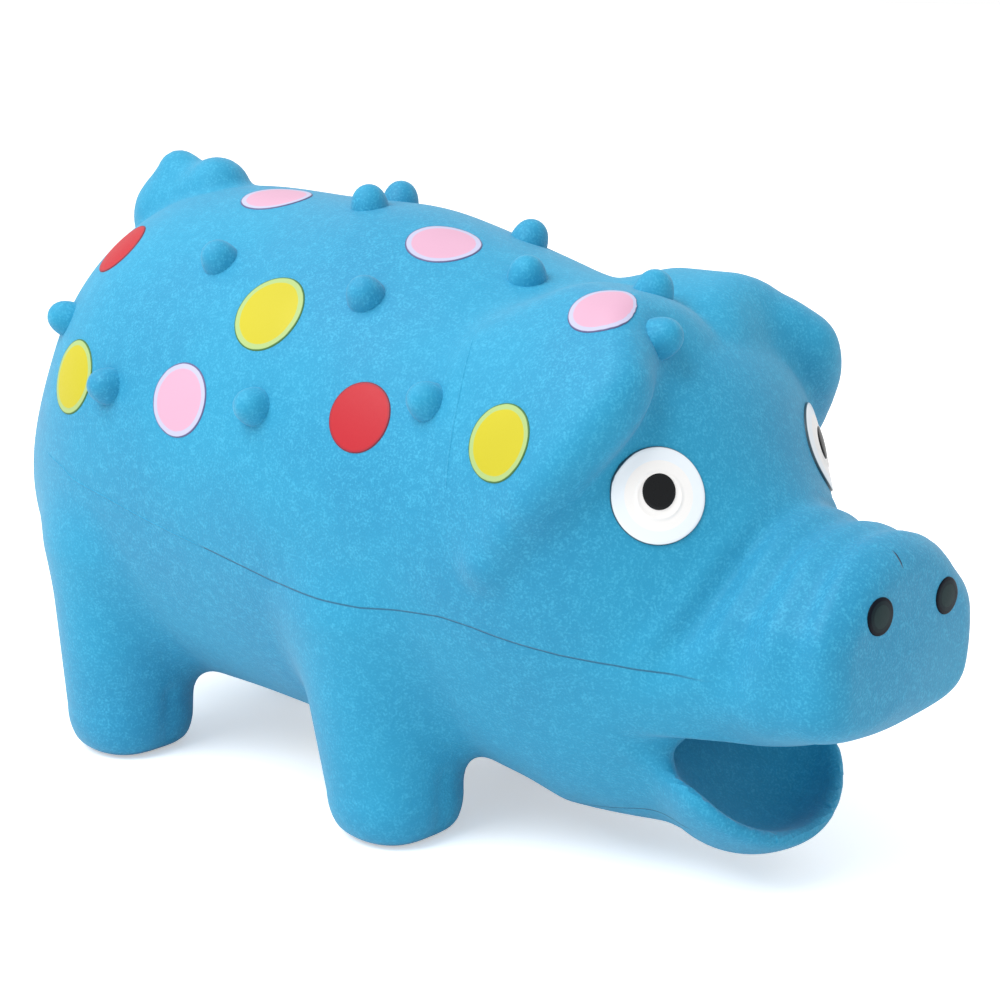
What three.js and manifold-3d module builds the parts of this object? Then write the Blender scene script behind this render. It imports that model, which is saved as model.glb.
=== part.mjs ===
// Latex pig dog toy: a hollow moulded skin stuffed with fibre, with a grunting reed unit behind a port in
// its belly, painted eyes and nostrils, and round paint spots between soft conical bumps.
// Millimetres. +X towards the nose, +Y towards the pig's left, +Z up, the soles of the feet at z = 0.

import * as THREE from 'three';
import { mergeVertices } from 'three/addons/utils/BufferGeometryUtils.js';
import Module from 'manifold-3d';

const wasm = await Module();
wasm.setup();

// Skin: wall, mesh fineness and the clearances of what touches it
const SKIN_WALL = 2.8;
const SKIN_MESH = { body: 7.2, head: 3.6, across: 4.6 };
const CAVITY_MESH = { body: 9, head: 8, across: 8 };
const HEAD_STARTS = 32;
const FILLING_GAP = 0.6;
const FILLING_FRONT = 50;
const PAINT_GAP = 0.3;
const PAINT_CLEARANCE = 0.2;
const PAINT_THICKNESS = 0.5;
const FILM_SIDES = 12;

// Trunk and head: centre and half sizes of each swelling, and how softly it runs into the ones before it
const RUMP = { centre: [-49, 0, 61], half: [44.5, 41, 48.5] };
const HAUNCH = { centre: [-58, 0, 50], half: [41, 37, 34], blend: 8 };
const BARREL = { centre: [-12, 0, 59.5], half: [50, 42, 49.5], blend: 14 };
const SHOULDER = { centre: [22.5, 0, 56.5], half: [42, 40, 43], blend: 14 };
const THROAT = { centre: [46, 0, 33], half: [30, 27, 25.5], blend: 14 };
const SKULL = { centre: [45, 0, 61], half: [31, 37, 34], blend: 12 };
const BROW = { centre: [48.5, 0, 78], half: [17, 25, 14], blend: 12 };

// Snout: a tapering root, a full upper lip and a flat nose of two discs, the lower one wide and squarish
const SNOUT_ROOT = { from: [62, 0, 47], to: [80, 0, 47], fromRadius: 19.2, toRadius: 15.8, blend: 13 };
const UPPER_LIP = { centre: [72, 0, 40], half: [20, 23, 13], blend: 5 };
const NOSE_TOP = { centre: [91.6, 0, 49.8], half: [8.5, 19.5, 13.9], edge: 6, squareness: 2 };
const NOSE_BASE = { centre: [91.6, 0, 45.3], half: [8.5, 23.2, 10.8], edge: 5, squareness: 4 };
const DISC_BLEND = 7;
const NOSE_BLEND = 12;

// Mouth: the lower jaw ends at a lip plane that leans back, and is scooped out behind it
const JAW_ROOT = { from: [48, 0, 28], to: [69, 0, 20], fromRadius: 23.5, toRadius: 14.5 };
const CHIN = { centre: [68.5, 0, 20.5], half: [17.5, 21, 16.5], blend: 4 };
const LIP_PLANE_POINT = [82, 0, 10.3];
const LIP_PLANE_LEAN = THREE.MathUtils.degToRad(40.5);
const LIP_ROUNDING = 3;
const MOUTH_ROOF = { centre: [74, 0, 9], half: [26, 40, 18.5], rounding: 2, blend: 4 };
const MOUTH_SCOOP = { centre: [84, 0, 29], half: [18, 15.5, 18] };
const SOLID_JAW = { centre: [82, 0, 20], half: [26, 30, 20], blend: 4 };

// Legs: hoof and thigh of one front and one rear leg, on the left side
const LEG_SPREAD = 26.5;
const REAR_LEG = { x: -61, thighX: -60.5, thighZ: 40, thighRadius: 16 };
const FRONT_LEG = { x: 11.5, thighX: 9, thighZ: 40, thighRadius: 17 };
const HOOF_RADIUS = 12;
const HOOF_CENTRE_Z = 8;
const THIGH_INSET = 1.5;
const LEG_BLEND = 6;
const SOLE_ROUNDING = 3;
const SOLE_TRIM = 0.5;

// Hoof cleft: a notch down the front of each hoof
const CLEFT_WIDTH = 2.6;
const CLEFT_DEPTH = 1.6;
const CLEFT_HEIGHT = 11;

// Ear: a folded flap from its root on the head to its tip, as rods from its rear edge to its front edge on
// the left side, softly merged
const EAR_REAR = [
  [45, 6, 92.5],
  [45, 15, 95.3],
  [35, 21.5, 88],
  [32.5, 28, 81],
  [34.5, 31.5, 71],
  [39, 32.5, 60],
];
const EAR_FRONT = [
  [55, 7, 92.5],
  [53, 16.5, 95.8],
  [62.5, 25.8, 88.5],
  [60.5, 31, 81],
  [56, 35, 71],
  [46, 36, 57.5],
];
const EAR_RODS = 13;
const EAR_SOFTNESS = 2;
const EAR_HALF_THICKNESS = 3.9;
const EAR_BLEND = 7;

// Tail: a short curl lying over the rump with its tip turned up
const TAIL_CURL = { from: [-75, 0, 99], to: [-56, 0, 106], radius: 8 };
const TAIL_TIP = { from: [-72, 0, 104], to: [-70, 0, 111], fromRadius: 5, toRadius: 4, blend: 4 };
const TAIL_BLEND = 5;

// Bumps: one rounded cone at each place, standing square to the skin
const BUMP = { radius: 3.7, height: 4.6, tipRadius: 2.3, root: 1.2, sides: 9, tipSteps: 2 };
const SPINE_BUMPS = [
  [-14, -4.5, 109],
  [-18, 8, 108],
  [27, -8, 100],
  [12.5, 9.5, 103],
  [60.5, -15.5, 93.5],
  [52, -5, 99],
  [5, -25, 96],
  [5, 33, 88],
];
const FLANK_BUMPS = [
  [-73, 28, 85],
  [-50, 39, 76],
  [-32, 25, 99],
  [-9, 39, 77],
  [27, 34, 82],
];

// Paint spots: radius of each colour, and colour and place of each, the paint lying on the skin nearest to it
const SPOT_RADII = { pink: 6.9, yellow: 7.3, red: 6.2 };
const SPINE_SPOTS = [
  { colour: 'pink', at: [-37, -6, 109] },
  { colour: 'pink', at: [8.5, -9, 104] },
  { colour: 'pink', at: [54, -20, 98] },
];
const FLANK_SPOTS = [
  { near: 'red', far: 'yellow', at: [-65, 22, 95] },
  { near: 'yellow', far: 'pink', at: [-61, 38, 76] },
  { near: 'pink', far: 'red', at: [-28, 40, 76] },
  { near: 'yellow', far: 'yellow', at: [-13, 31, 92] },
  { near: 'red', far: 'pink', at: [14.5, 37, 78] },
  { near: 'yellow', far: 'red', at: [45.8, 37, 78] },
];

// Eyes and nostrils
const EYE_AT = [67.8, 23.4, 70.2];
const EYE_RADIUS = 8;
const PUPIL_RADIUS = 2.9;
const PUPIL_RISE = 0.7;
const NOSTRIL_AT = [102, 10, 53.6];
const NOSTRIL_RADIUS = 3.3;

// Belly port and the grunter that plugs it
const GRUNTER_X = -23;
const PORT_RADIUS = 11;
const PLUG_GAP = 0.3;
const CASE_SEAT_GAP = 0.7;
const PLUG_WALL = 1.6;
const PLUG_RECESS = 0.6;
const CASE_RADIUS = 15;
const CASE_WALL = 1.6;
const CASE_FLOOR = 2;
const CAP_THICKNESS = 1.8;
const CAP_SPIGOT = 3;
const CAP_HOLE_RADIUS = 1.5;
const CAP_HOLE_CIRCLE = 8;
const CAP_HOLES = 6;
const CAP_HOLE_SIDES = 12;
const FIT_GAP = 0.3;
const ROUND_SIDES = 32;

// Reed: a half-open tube through the floor of the case, a thin tongue over it and a wedge that clamps it
const REED_RADIUS = 4.2;
const REED_WALL = 1.1;
const REED_STEM = 6;
const REED_TROUGH = 11;
const REED_HEADROOM = 1.5;
const REED_FLANGE_RADIUS = 6.5;
const REED_FLANGE = 1.2;
const TONGUE_THICKNESS = 0.5;
const TONGUE_WIDTH = 5;
const TONGUE_ROOT = 3;
const TONGUE_GAP = 0.35;
const REED_SIDES = 20;

// Finishes: colour in daylight and roughness of each kind of surface
const FINISHES = {
  latex: { color: 0x46afda, roughness: 0.62 },
  fibre: { color: 0xf1efe6, roughness: 0.95 },
  caseShell: { color: 0xe9e6dc, roughness: 0.45 },
  reedPlastic: { color: 0xd8d4c6, roughness: 0.4 },
  reedFilm: { color: 0xc8743a, roughness: 0.35 },
  pink: { color: 0xf8cfe7, roughness: 0.5 },
  yellow: { color: 0xefe341, roughness: 0.5 },
  red: { color: 0xe1424f, roughness: 0.5 },
  white: { color: 0xeef4f8, roughness: 0.35 },
  black: { color: 0x15181c, roughness: 0.15 },
};

// Longer than the whole toy: what a cutting block reaches, and how far a short cutter runs past what it cuts
const REACH = 400;
const OVERRUN = 1;
const TRUNK_MIDDLE = BARREL.centre[2];

// Signed distances, negative inside

const clamp = (value, low, high) => Math.min(high, Math.max(low, value));

const difference = (a, b) => [a[0] - b[0], a[1] - b[1], a[2] - b[2]];

const dot = (a, b) => a[0] * b[0] + a[1] * b[1] + a[2] * b[2];

function join(a, b, blend) {
  const overlap = Math.max(blend - Math.abs(a - b), 0) / blend;
  return Math.min(a, b) - (overlap * overlap * blend) / 4;
}

const meet = (a, b, blend) => -join(-a, -b, blend);

const carve = (a, b, blend) => meet(a, -b, blend);

function ellipsoid(point, { centre, half }) {
  const offset = difference(point, centre);
  const scaled = Math.hypot(offset[0] / half[0], offset[1] / half[1], offset[2] / half[2]);
  const slope = Math.hypot(offset[0] / half[0] ** 2, offset[1] / half[1] ** 2, offset[2] / half[2] ** 2);
  return (scaled * (scaled - 1)) / Math.max(slope, Number.EPSILON);
}

function taperedCapsule(point, from, to, fromRadius, toRadius) {
  const axis = difference(to, from);
  const offset = difference(point, from);
  const along = clamp(dot(offset, axis) / dot(axis, axis), 0, 1);
  const nearest = axis.map((value) => value * along);
  return Math.hypot(...difference(offset, nearest)) - (fromRadius + (toRadius - fromRadius) * along);
}

function roundedDisc(point, { centre, half, edge, squareness }) {
  const offset = difference(point, centre);
  const across = Math.abs(offset[1] / half[1]) ** squareness;
  const upward = Math.abs(offset[2] / half[2]) ** squareness;
  const scaled = (across + upward) ** (1 / squareness);
  const reach = Math.hypot(offset[1], offset[2]);
  const radial = scaled > Number.EPSILON ? ((scaled - 1) * reach) / scaled : -half[2];
  const axial = Math.abs(offset[0]) - half[0];
  const corner = Math.hypot(Math.max(radial + edge, 0), Math.max(axial + edge, 0));
  return Math.min(Math.max(radial, axial) + edge, 0) + corner - edge;
}

// A place on a run of corners, counted in corners from the first
function placeAlong(corners, reach) {
  const index = Math.min(Math.floor(reach), corners.length - 2);
  const share = reach - index;
  return corners[index].map((value, axis) => value + share * (corners[index + 1][axis] - value));
}

// Outer shape of the pig: the left half, mirrored by taking y as positive

function trunk(point) {
  let distance = ellipsoid(point, RUMP);
  for (const swelling of [HAUNCH, BARREL, SHOULDER, THROAT, SKULL, BROW]) {
    distance = join(distance, ellipsoid(point, swelling), swelling.blend);
  }
  return distance;
}

function snout(point) {
  const { from, to, fromRadius, toRadius } = SNOUT_ROOT;
  const root = taperedCapsule(point, from, to, fromRadius, toRadius);
  const lipped = join(root, ellipsoid(point, UPPER_LIP), UPPER_LIP.blend);
  const nose = join(roundedDisc(point, NOSE_TOP), roundedDisc(point, NOSE_BASE), DISC_BLEND);
  return join(lipped, nose, NOSE_BLEND);
}

function aheadOfLips(point) {
  const offset = difference(point, LIP_PLANE_POINT);
  return offset[0] * Math.cos(LIP_PLANE_LEAN) + offset[2] * Math.sin(LIP_PLANE_LEAN);
}

function jaw(point) {
  const { from, to, fromRadius, toRadius } = JAW_ROOT;
  const root = taperedCapsule(point, from, to, fromRadius, toRadius);
  const full = join(root, ellipsoid(point, CHIN), CHIN.blend);
  const lipped = meet(full, aheadOfLips(point), LIP_ROUNDING);
  return carve(lipped, ellipsoid(point, MOUTH_SCOOP), LIP_ROUNDING);
}

function leg(point, { x, thighX, thighZ, thighRadius }) {
  const hoof = [x, LEG_SPREAD, HOOF_CENTRE_Z];
  const thigh = [thighX, LEG_SPREAD - THIGH_INSET, thighZ];
  return taperedCapsule(point, hoof, thigh, HOOF_RADIUS, thighRadius);
}

const earRods = Array.from({ length: EAR_RODS }, (entry, index) => {
  const reach = (index * (EAR_REAR.length - 1)) / (EAR_RODS - 1);
  return [placeAlong(EAR_REAR, reach), placeAlong(EAR_FRONT, reach)];
});

function ear(point) {
  let total = 0;
  for (const [rear, front] of earRods) {
    total += Math.exp(-taperedCapsule(point, rear, front, 0, 0) / EAR_SOFTNESS);
  }
  return -EAR_SOFTNESS * Math.log(Math.max(total, Number.MIN_VALUE)) - EAR_HALF_THICKNESS;
}

function tail(point) {
  const curl = taperedCapsule(point, TAIL_CURL.from, TAIL_CURL.to, TAIL_CURL.radius, TAIL_CURL.radius);
  const tip = taperedCapsule(point, TAIL_TIP.from, TAIL_TIP.to, TAIL_TIP.fromRadius, TAIL_TIP.toRadius);
  return join(curl, tip, TAIL_TIP.blend);
}

// The pig without its ears and tail
function core(position) {
  const point = [position[0], Math.abs(position[1]), position[2]];
  const snouted = join(trunk(point), snout(point), SNOUT_ROOT.blend);
  const roof = meet(ellipsoid(point, MOUTH_ROOF), -aheadOfLips(point), MOUTH_ROOF.rounding);
  const opened = carve(snouted, roof, MOUTH_ROOF.blend);
  const jawed = join(opened, jaw(point), LIP_ROUNDING);
  const rearLegged = join(jawed, leg(point, REAR_LEG), LEG_BLEND);
  const legged = join(rearLegged, leg(point, FRONT_LEG), LEG_BLEND);
  return meet(legged, -point[2] - SOLE_TRIM, SOLE_ROUNDING);
}

// The cavity stays clear of the jaw, which is solid latex as the ears and the tail are
function hollow(position) {
  return carve(core(position), ellipsoid(position, SOLID_JAW), SOLID_JAW.blend);
}

function pig(position) {
  const point = [position[0], Math.abs(position[1]), position[2]];
  return join(join(core(position), ear(point), EAR_BLEND), tail(point), TAIL_BLEND);
}

// Places on the surface of a field

const SLOPE_STEP = 0.2;
const LEAST_STEEPNESS = 0.05;
const SEATING_ROUNDS = 8;
const SEARCH_STEP = 0.1;

function slope(field, point) {
  return [0, 1, 2].map((axis) => {
    const ahead = [...point];
    const behind = [...point];
    ahead[axis] += SLOPE_STEP;
    behind[axis] -= SLOPE_STEP;
    return (field(ahead) - field(behind)) / (2 * SLOPE_STEP);
  });
}

function seat(field, point, height = 0) {
  let place = point;
  for (let round = 0; round < SEATING_ROUNDS; round += 1) {
    const gradient = slope(field, place);
    const steepness = Math.max(dot(gradient, gradient), LEAST_STEEPNESS);
    const step = (field(place) - height) / steepness;
    place = difference(place, gradient.map((value) => value * step));
  }
  return place;
}

function heightAt(field, x, y, fromZ, level) {
  let z = fromZ;
  while (field([x, y, z]) < level) {
    z -= SEARCH_STEP;
  }
  return z;
}

// A closed surface of a field at a level: one vertex for each sheet of it in each cell of a grid, and one
// quad across each grid edge that it crosses
const GRID_MARGIN = 8;
const GRID_SIDE = BARREL.half[1] + GRID_MARGIN;
const GRID_REAR = HAUNCH.centre[0] - HAUNCH.half[0] - GRID_MARGIN;
const GRID_FRONT = NOSE_TOP.centre[0] + NOSE_TOP.half[0] + GRID_MARGIN;
const GRID_TOP = TAIL_TIP.to[2] + TAIL_TIP.toRadius + GRID_MARGIN;
const GRID_LOW = [GRID_REAR, -GRID_SIDE, -GRID_MARGIN];
const GRID_HIGH = [GRID_FRONT, GRID_SIDE, GRID_TOP];

function gridLines(low, high, stepAt) {
  const lines = [low];
  while (lines[lines.length - 1] < high) {
    const last = lines[lines.length - 1];
    lines.push(last + stepAt(last));
  }
  return lines;
}

function surfaceOf(field, level, { body, head, across }) {
  const stepAlong = (x) => (x < HEAD_STARTS ? body : head);
  const steps = [stepAlong, () => across, () => across];
  const lines = steps.map((stepAt, axis) => gridLines(GRID_LOW[axis], GRID_HIGH[axis], stepAt));
  const size = lines.map((line) => line.length);
  const node = ([i, j, k]) => (k * size[1] + j) * size[0] + i;
  const place = (cell) => cell.map((index, axis) => lines[axis][index]);
  const values = new Float64Array(size[0] * size[1] * size[2]);
  forEachCell(size, (cell) => {
    values[node(cell)] = field(place(cell)) - level;
  });
  const vertices = [];
  const cells = new Map();
  const inner = size.map((count) => count - 1);
  forEachCell(inner, (cell) => {
    const nodes = CELL_CORNERS.map((corner) => node(cell.map((value, axis) => value + corner[axis])));
    const corners = nodes.map((index) => values[index]);
    const owners = [];
    for (const sheet of sheetsIn(corners)) {
      const middle = crossingMiddle(corners, sheet);
      const low = place(cell);
      const high = place(cell.map((index) => index + 1));
      for (const edge of sheet) {
        owners[edge] = vertices.length;
      }
      vertices.push(low.map((value, axis) => value + middle[axis] * (high[axis] - value)));
    }
    cells.set(node(cell), owners);
  });
  const triangles = [];
  forEachCell(inner, (cell) => {
    for (const axis of [0, 1, 2]) {
      const next = cell.map((value, index) => value + (index === axis ? 1 : 0));
      const inside = values[node(cell)] < 0;
      if (inside !== values[node(next)] < 0) {
        const ring = quadRound(cell, axis, cells, node);
        triangles.push(...splitQuad(vertices, inside ? ring : ring.reverse()));
      }
    }
  });
  return solidFromTriangles(vertices, triangles);
}

function forEachCell(size, visit) {
  for (let k = 0; k < size[2]; k += 1) {
    for (let j = 0; j < size[1]; j += 1) {
      for (let i = 0; i < size[0]; i += 1) {
        visit([i, j, k]);
      }
    }
  }
}

// Corners of a cell by their bits, its edges as corner pairs, and its faces as rings of corners
const CELL_CORNERS = [0, 1, 2, 3, 4, 5, 6, 7].map((bits) => [bits & 1, (bits >> 1) & 1, (bits >> 2) & 1]);
const CELL_EDGES = CELL_CORNERS.flatMap((corner, index) =>
  [0, 1, 2].filter((axis) => corner[axis] === 0).map((axis) => [index, index | (1 << axis)]),
);
const CELL_FACES = [0, 1, 2].flatMap((axis) => {
  const [across, along] = [1 << (axis + 1) % 3, 1 << (axis + 2) % 3];
  return [0, 1 << axis].map((base) => [base, base | across, base | across | along, base | along]);
});
const FACE_EDGES = CELL_FACES.map((ring) => {
  return ring.map((corner, index) => edgeOf(corner, ring[(index + 1) % ring.length]));
});

function edgeOf(a, b) {
  return CELL_EDGES.findIndex(([from, to]) => from === Math.min(a, b) && to === Math.max(a, b));
}

// The separate sheets of the surface in a cell, each a list of the cell edges that it crosses
function sheetsIn(corners) {
  const crossed = CELL_EDGES.map(([from, to]) => corners[from] < 0 !== corners[to] < 0);
  const sheetOf = CELL_EDGES.map((edge, index) => index);
  const unite = (a, b) => {
    const [kept, merged] = [sheetOf[a], sheetOf[b]];
    sheetOf.forEach((sheet, index) => {
      sheetOf[index] = sheet === merged ? kept : sheet;
    });
  };
  CELL_FACES.forEach((ring, face) => {
    const edges = FACE_EDGES[face];
    const active = edges.filter((edge) => crossed[edge]);
    if (active.length === 2) {
      unite(...active);
    }
    if (active.length === 4) {
      ring.forEach((corner, index) => {
        if (corners[corner] < 0) {
          unite(edges[index], edges.at(index - 1));
        }
      });
    }
  });
  const sheets = new Map();
  crossed.forEach((isCrossed, edge) => {
    if (isCrossed) {
      sheets.set(sheetOf[edge], [...(sheets.get(sheetOf[edge]) ?? []), edge]);
    }
  });
  return [...sheets.values()];
}

function crossingMiddle(corners, sheet) {
  const sum = [0, 0, 0];
  for (const edge of sheet) {
    const [from, to] = CELL_EDGES[edge];
    const share = corners[from] / (corners[from] - corners[to]);
    for (const axis of [0, 1, 2]) {
      const run = CELL_CORNERS[to][axis] - CELL_CORNERS[from][axis];
      sum[axis] += (CELL_CORNERS[from][axis] + share * run) / sheet.length;
    }
  }
  return sum;
}

// The vertices of the four cells round the grid edge that runs from a node along an axis
function quadRound(start, axis, cells, node) {
  const [across, along] = [(axis + 1) % 3, (axis + 2) % 3];
  return [[0, 0], [1, 0], [1, 1], [0, 1]].map(([stepAcross, stepAlong]) => {
    const cell = [...start];
    cell[across] -= stepAcross;
    cell[along] -= stepAlong;
    const corner = (stepAcross << across) | (stepAlong << along);
    return cells.get(node(cell))[edgeOf(corner, corner | (1 << axis))];
  });
}

function splitQuad(vertices, [a, b, c, d]) {
  const span = (from, to) => Math.hypot(...difference(vertices[from], vertices[to]));
  return span(a, c) <= span(b, d) ? [[a, b, c], [a, c, d]] : [[b, c, d], [b, d, a]];
}

// Solids: joined and cut as manifolds, shown as buffer geometries

const SAME_POINT = 1e-3;

function solidFromTriangles(vertices, triangles) {
  const vertProperties = new Float32Array(vertices.flat());
  const triVerts = new Uint32Array(triangles.flat());
  return new wasm.Manifold(new wasm.Mesh({ numProp: 3, vertProperties, triVerts }));
}

function solidFromGeometry(geometry) {
  const bare = geometry.clone();
  bare.deleteAttribute('normal');
  bare.deleteAttribute('uv');
  const merged = mergeVertices(bare, SAME_POINT);
  const position = merged.getAttribute('position');
  const index = merged.getIndex().array;
  const vertices = [];
  for (let vertex = 0; vertex < position.count; vertex += 1) {
    vertices.push([position.getX(vertex), position.getY(vertex), position.getZ(vertex)]);
  }
  const triangles = [];
  for (let start = 0; start < index.length; start += 3) {
    const [a, b, c] = index.slice(start, start + 3);
    if (a !== b && b !== c && c !== a) {
      triangles.push([a, b, c]);
    }
  }
  return solidFromTriangles(vertices, triangles);
}

function geometryFromSolid(solid) {
  const { vertProperties, triVerts } = solid.getMesh();
  const geometry = new THREE.BufferGeometry();
  geometry.setAttribute('position', new THREE.BufferAttribute(vertProperties, 3));
  geometry.setIndex(new THREE.BufferAttribute(triVerts, 1));
  geometry.computeVertexNormals();
  return geometry;
}

function box(sizes, centre) {
  return solidFromGeometry(new THREE.BoxGeometry(...sizes).translate(...centre));
}

// A round piece about the upright axis at the grunter, from a profile of radius and height
function turned(profile, sides = ROUND_SIDES) {
  const points = profile.map(([radius, height]) => new THREE.Vector2(radius, height));
  const geometry = new THREE.LatheGeometry(points, sides).rotateX(Math.PI / 2);
  return solidFromGeometry(geometry.translate(GRUNTER_X, 0, 0));
}

function rod(radius, low, high, sides) {
  return turned([[0, low], [radius, low], [radius, high], [0, high]], sides);
}

// Skin

function bumpAt(place, side) {
  const [x, y, z] = seat(pig, [place[0], place[1] * side, place[2]]);
  const outward = new THREE.Vector3(...slope(pig, [x, y, z])).normalize();
  const tip = new THREE.Path().absarc(0, BUMP.height - BUMP.tipRadius, BUMP.tipRadius, 0, Math.PI / 2);
  const foot = [new THREE.Vector2(0, -BUMP.root), new THREE.Vector2(BUMP.radius, -BUMP.root)];
  const profile = [...foot, ...tip.getPoints(BUMP.tipSteps)];
  const geometry = new THREE.LatheGeometry(profile, BUMP.sides);
  const turn = new THREE.Quaternion().setFromUnitVectors(new THREE.Vector3(0, 1, 0), outward);
  return solidFromGeometry(geometry.applyQuaternion(turn).translate(x, y, z));
}

function cleftAt({ x }, side) {
  const notch = new THREE.Shape([
    new THREE.Vector2(-CLEFT_DEPTH, 0),
    new THREE.Vector2(CLEFT_DEPTH, -CLEFT_WIDTH / 2),
    new THREE.Vector2(CLEFT_DEPTH, CLEFT_WIDTH / 2),
  ]);
  const geometry = new THREE.ExtrudeGeometry(notch, { depth: CLEFT_HEIGHT + OVERRUN, bevelEnabled: false });
  return solidFromGeometry(geometry.translate(x + HOOF_RADIUS, side * LEG_SPREAD, -OVERRUN));
}

function makeSkin() {
  let skin = surfaceOf(pig, 0, SKIN_MESH);
  for (const place of SPINE_BUMPS) {
    skin = skin.add(bumpAt(place, 1));
  }
  for (const side of [-1, 1]) {
    for (const place of FLANK_BUMPS) {
      skin = skin.add(bumpAt(place, side));
    }
    for (const limb of [REAR_LEG, FRONT_LEG]) {
      skin = skin.subtract(cleftAt(limb, side));
    }
  }
  const port = rod(PORT_RADIUS, 0, TRUNK_MIDDLE, ROUND_SIDES);
  const ground = box([REACH, REACH, REACH], [0, 0, -REACH / 2]);
  return skin.subtract(ground).subtract(cavity).subtract(port);
}

const cavity = surfaceOf(hollow, -SKIN_WALL, CAVITY_MESH);
const skin = makeSkin();

// Filling: the cavity shrunk by the gap, with a pocket round the grunter

function makeFilling() {
  const { vertProperties, triVerts } = cavity.getMesh();
  const shrunk = new Float32Array(vertProperties);
  for (let start = 0; start < shrunk.length; start += 3) {
    const point = Array.from(vertProperties.slice(start, start + 3));
    const outward = new THREE.Vector3(...slope(hollow, point)).normalize();
    shrunk[start] -= outward.x * FILLING_GAP;
    shrunk[start + 1] -= outward.y * FILLING_GAP;
    shrunk[start + 2] -= outward.z * FILLING_GAP;
  }
  const stuffing = new wasm.Manifold(new wasm.Mesh({ numProp: 3, vertProperties: shrunk, triVerts }));
  const pocket = rod(CASE_RADIUS + FIT_GAP, 0, grunterTop + FIT_GAP, ROUND_SIDES);
  const unfilled = box([REACH, REACH, REACH], [FILLING_FRONT + REACH / 2, 0, 0]);
  return stuffing.subtract(pocket).subtract(unfilled);
}

// Grunter: heights above the ground of its seats, from the skin at the port

const seatSpots = [[CASE_RADIUS, 0], [-CASE_RADIUS, 0], [0, CASE_RADIUS]];
const seatHeights = seatSpots.map(([x, y]) => heightAt(core, GRUNTER_X + x, y, TRUNK_MIDDLE, -SKIN_WALL));
const caseBottom = Math.max(...seatHeights) + CASE_SEAT_GAP;
const plugBottom = heightAt(core, GRUNTER_X, 0, TRUNK_MIDDLE, 0) + PLUG_RECESS;
const floorTop = caseBottom + CASE_FLOOR;
const stemTop = floorTop + FIT_GAP + REED_FLANGE + REED_STEM;
const reedTop = stemTop + REED_TROUGH;
const caseTop = reedTop + REED_HEADROOM;
const grunterTop = caseTop + FIT_GAP + CAP_THICKNESS;

function makeCase() {
  const bore = REED_RADIUS + FIT_GAP;
  const plugRadius = PORT_RADIUS - PLUG_GAP;
  return turned([
    [bore, caseBottom],
    [plugRadius - PLUG_WALL, caseBottom],
    [plugRadius - PLUG_WALL, plugBottom],
    [plugRadius, plugBottom],
    [plugRadius, caseBottom],
    [CASE_RADIUS, caseBottom],
    [CASE_RADIUS, caseTop],
    [CASE_RADIUS - CASE_WALL, caseTop],
    [CASE_RADIUS - CASE_WALL, floorTop],
    [bore, floorTop],
    [bore, caseBottom],
  ]);
}

function makeCap() {
  const spigotRadius = CASE_RADIUS - CASE_WALL - FIT_GAP;
  const low = caseTop + FIT_GAP;
  let cap = turned([
    [0, low],
    [spigotRadius - CASE_WALL, low],
    [spigotRadius - CASE_WALL, low - CAP_SPIGOT],
    [spigotRadius, low - CAP_SPIGOT],
    [spigotRadius, low],
    [CASE_RADIUS, low],
    [CASE_RADIUS, grunterTop],
    [0, grunterTop],
  ]);
  for (let hole = 0; hole < CAP_HOLES; hole += 1) {
    const angle = (hole * 2 * Math.PI) / CAP_HOLES;
    const depth = CAP_THICKNESS + 2 * OVERRUN;
    const drill = new THREE.CylinderGeometry(CAP_HOLE_RADIUS, CAP_HOLE_RADIUS, depth, CAP_HOLE_SIDES);
    drill.rotateX(Math.PI / 2);
    const [x, y] = [CAP_HOLE_CIRCLE * Math.cos(angle), CAP_HOLE_CIRCLE * Math.sin(angle)];
    drill.translate(GRUNTER_X + x, y, (low + grunterTop) / 2);
    cap = cap.subtract(solidFromGeometry(drill));
  }
  return cap;
}

// The stem is a whole tube up to the clamp; above it only the half behind the tongue is left
function makeReedTube() {
  const inner = REED_RADIUS - REED_WALL;
  const flangeLow = floorTop + FIT_GAP;
  const flangeHigh = flangeLow + REED_FLANGE;
  const tube = turned(
    [
      [inner, caseBottom],
      [REED_RADIUS, caseBottom],
      [REED_RADIUS, flangeLow],
      [REED_FLANGE_RADIUS, flangeLow],
      [REED_FLANGE_RADIUS, flangeHigh],
      [REED_RADIUS, flangeHigh],
      [REED_RADIUS, reedTop],
      [inner, reedTop],
      [inner, caseBottom],
    ],
    REED_SIDES,
  );
  const open = box([REACH, REACH, REACH], [GRUNTER_X + REACH / 2, 0, stemTop + REACH / 2]);
  const endPlug = rod(inner + REED_WALL / 2, reedTop - REED_WALL, reedTop, REED_SIDES);
  return tube.add(endPlug).subtract(open);
}

const tongueFace = GRUNTER_X + TONGUE_GAP;

function makeTongue() {
  const low = stemTop - TONGUE_ROOT;
  const height = reedTop - low;
  const centre = [tongueFace + TONGUE_THICKNESS / 2, 0, low + height / 2];
  return box([TONGUE_THICKNESS, TONGUE_WIDTH, height], centre);
}

// A half-round plug in the stem, in front of the root of the tongue
function makeWedge() {
  const radius = REED_RADIUS - REED_WALL - FIT_GAP;
  const plug = rod(radius, stemTop - REED_STEM, stemTop, REED_SIDES);
  const face = tongueFace + TONGUE_THICKNESS + TONGUE_GAP;
  const behind = box([REACH, REACH, REACH], [face - REACH / 2, 0, stemTop]);
  return plug.subtract(behind);
}

// Paint: a round film on the skin, lying along it from one level to another

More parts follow.
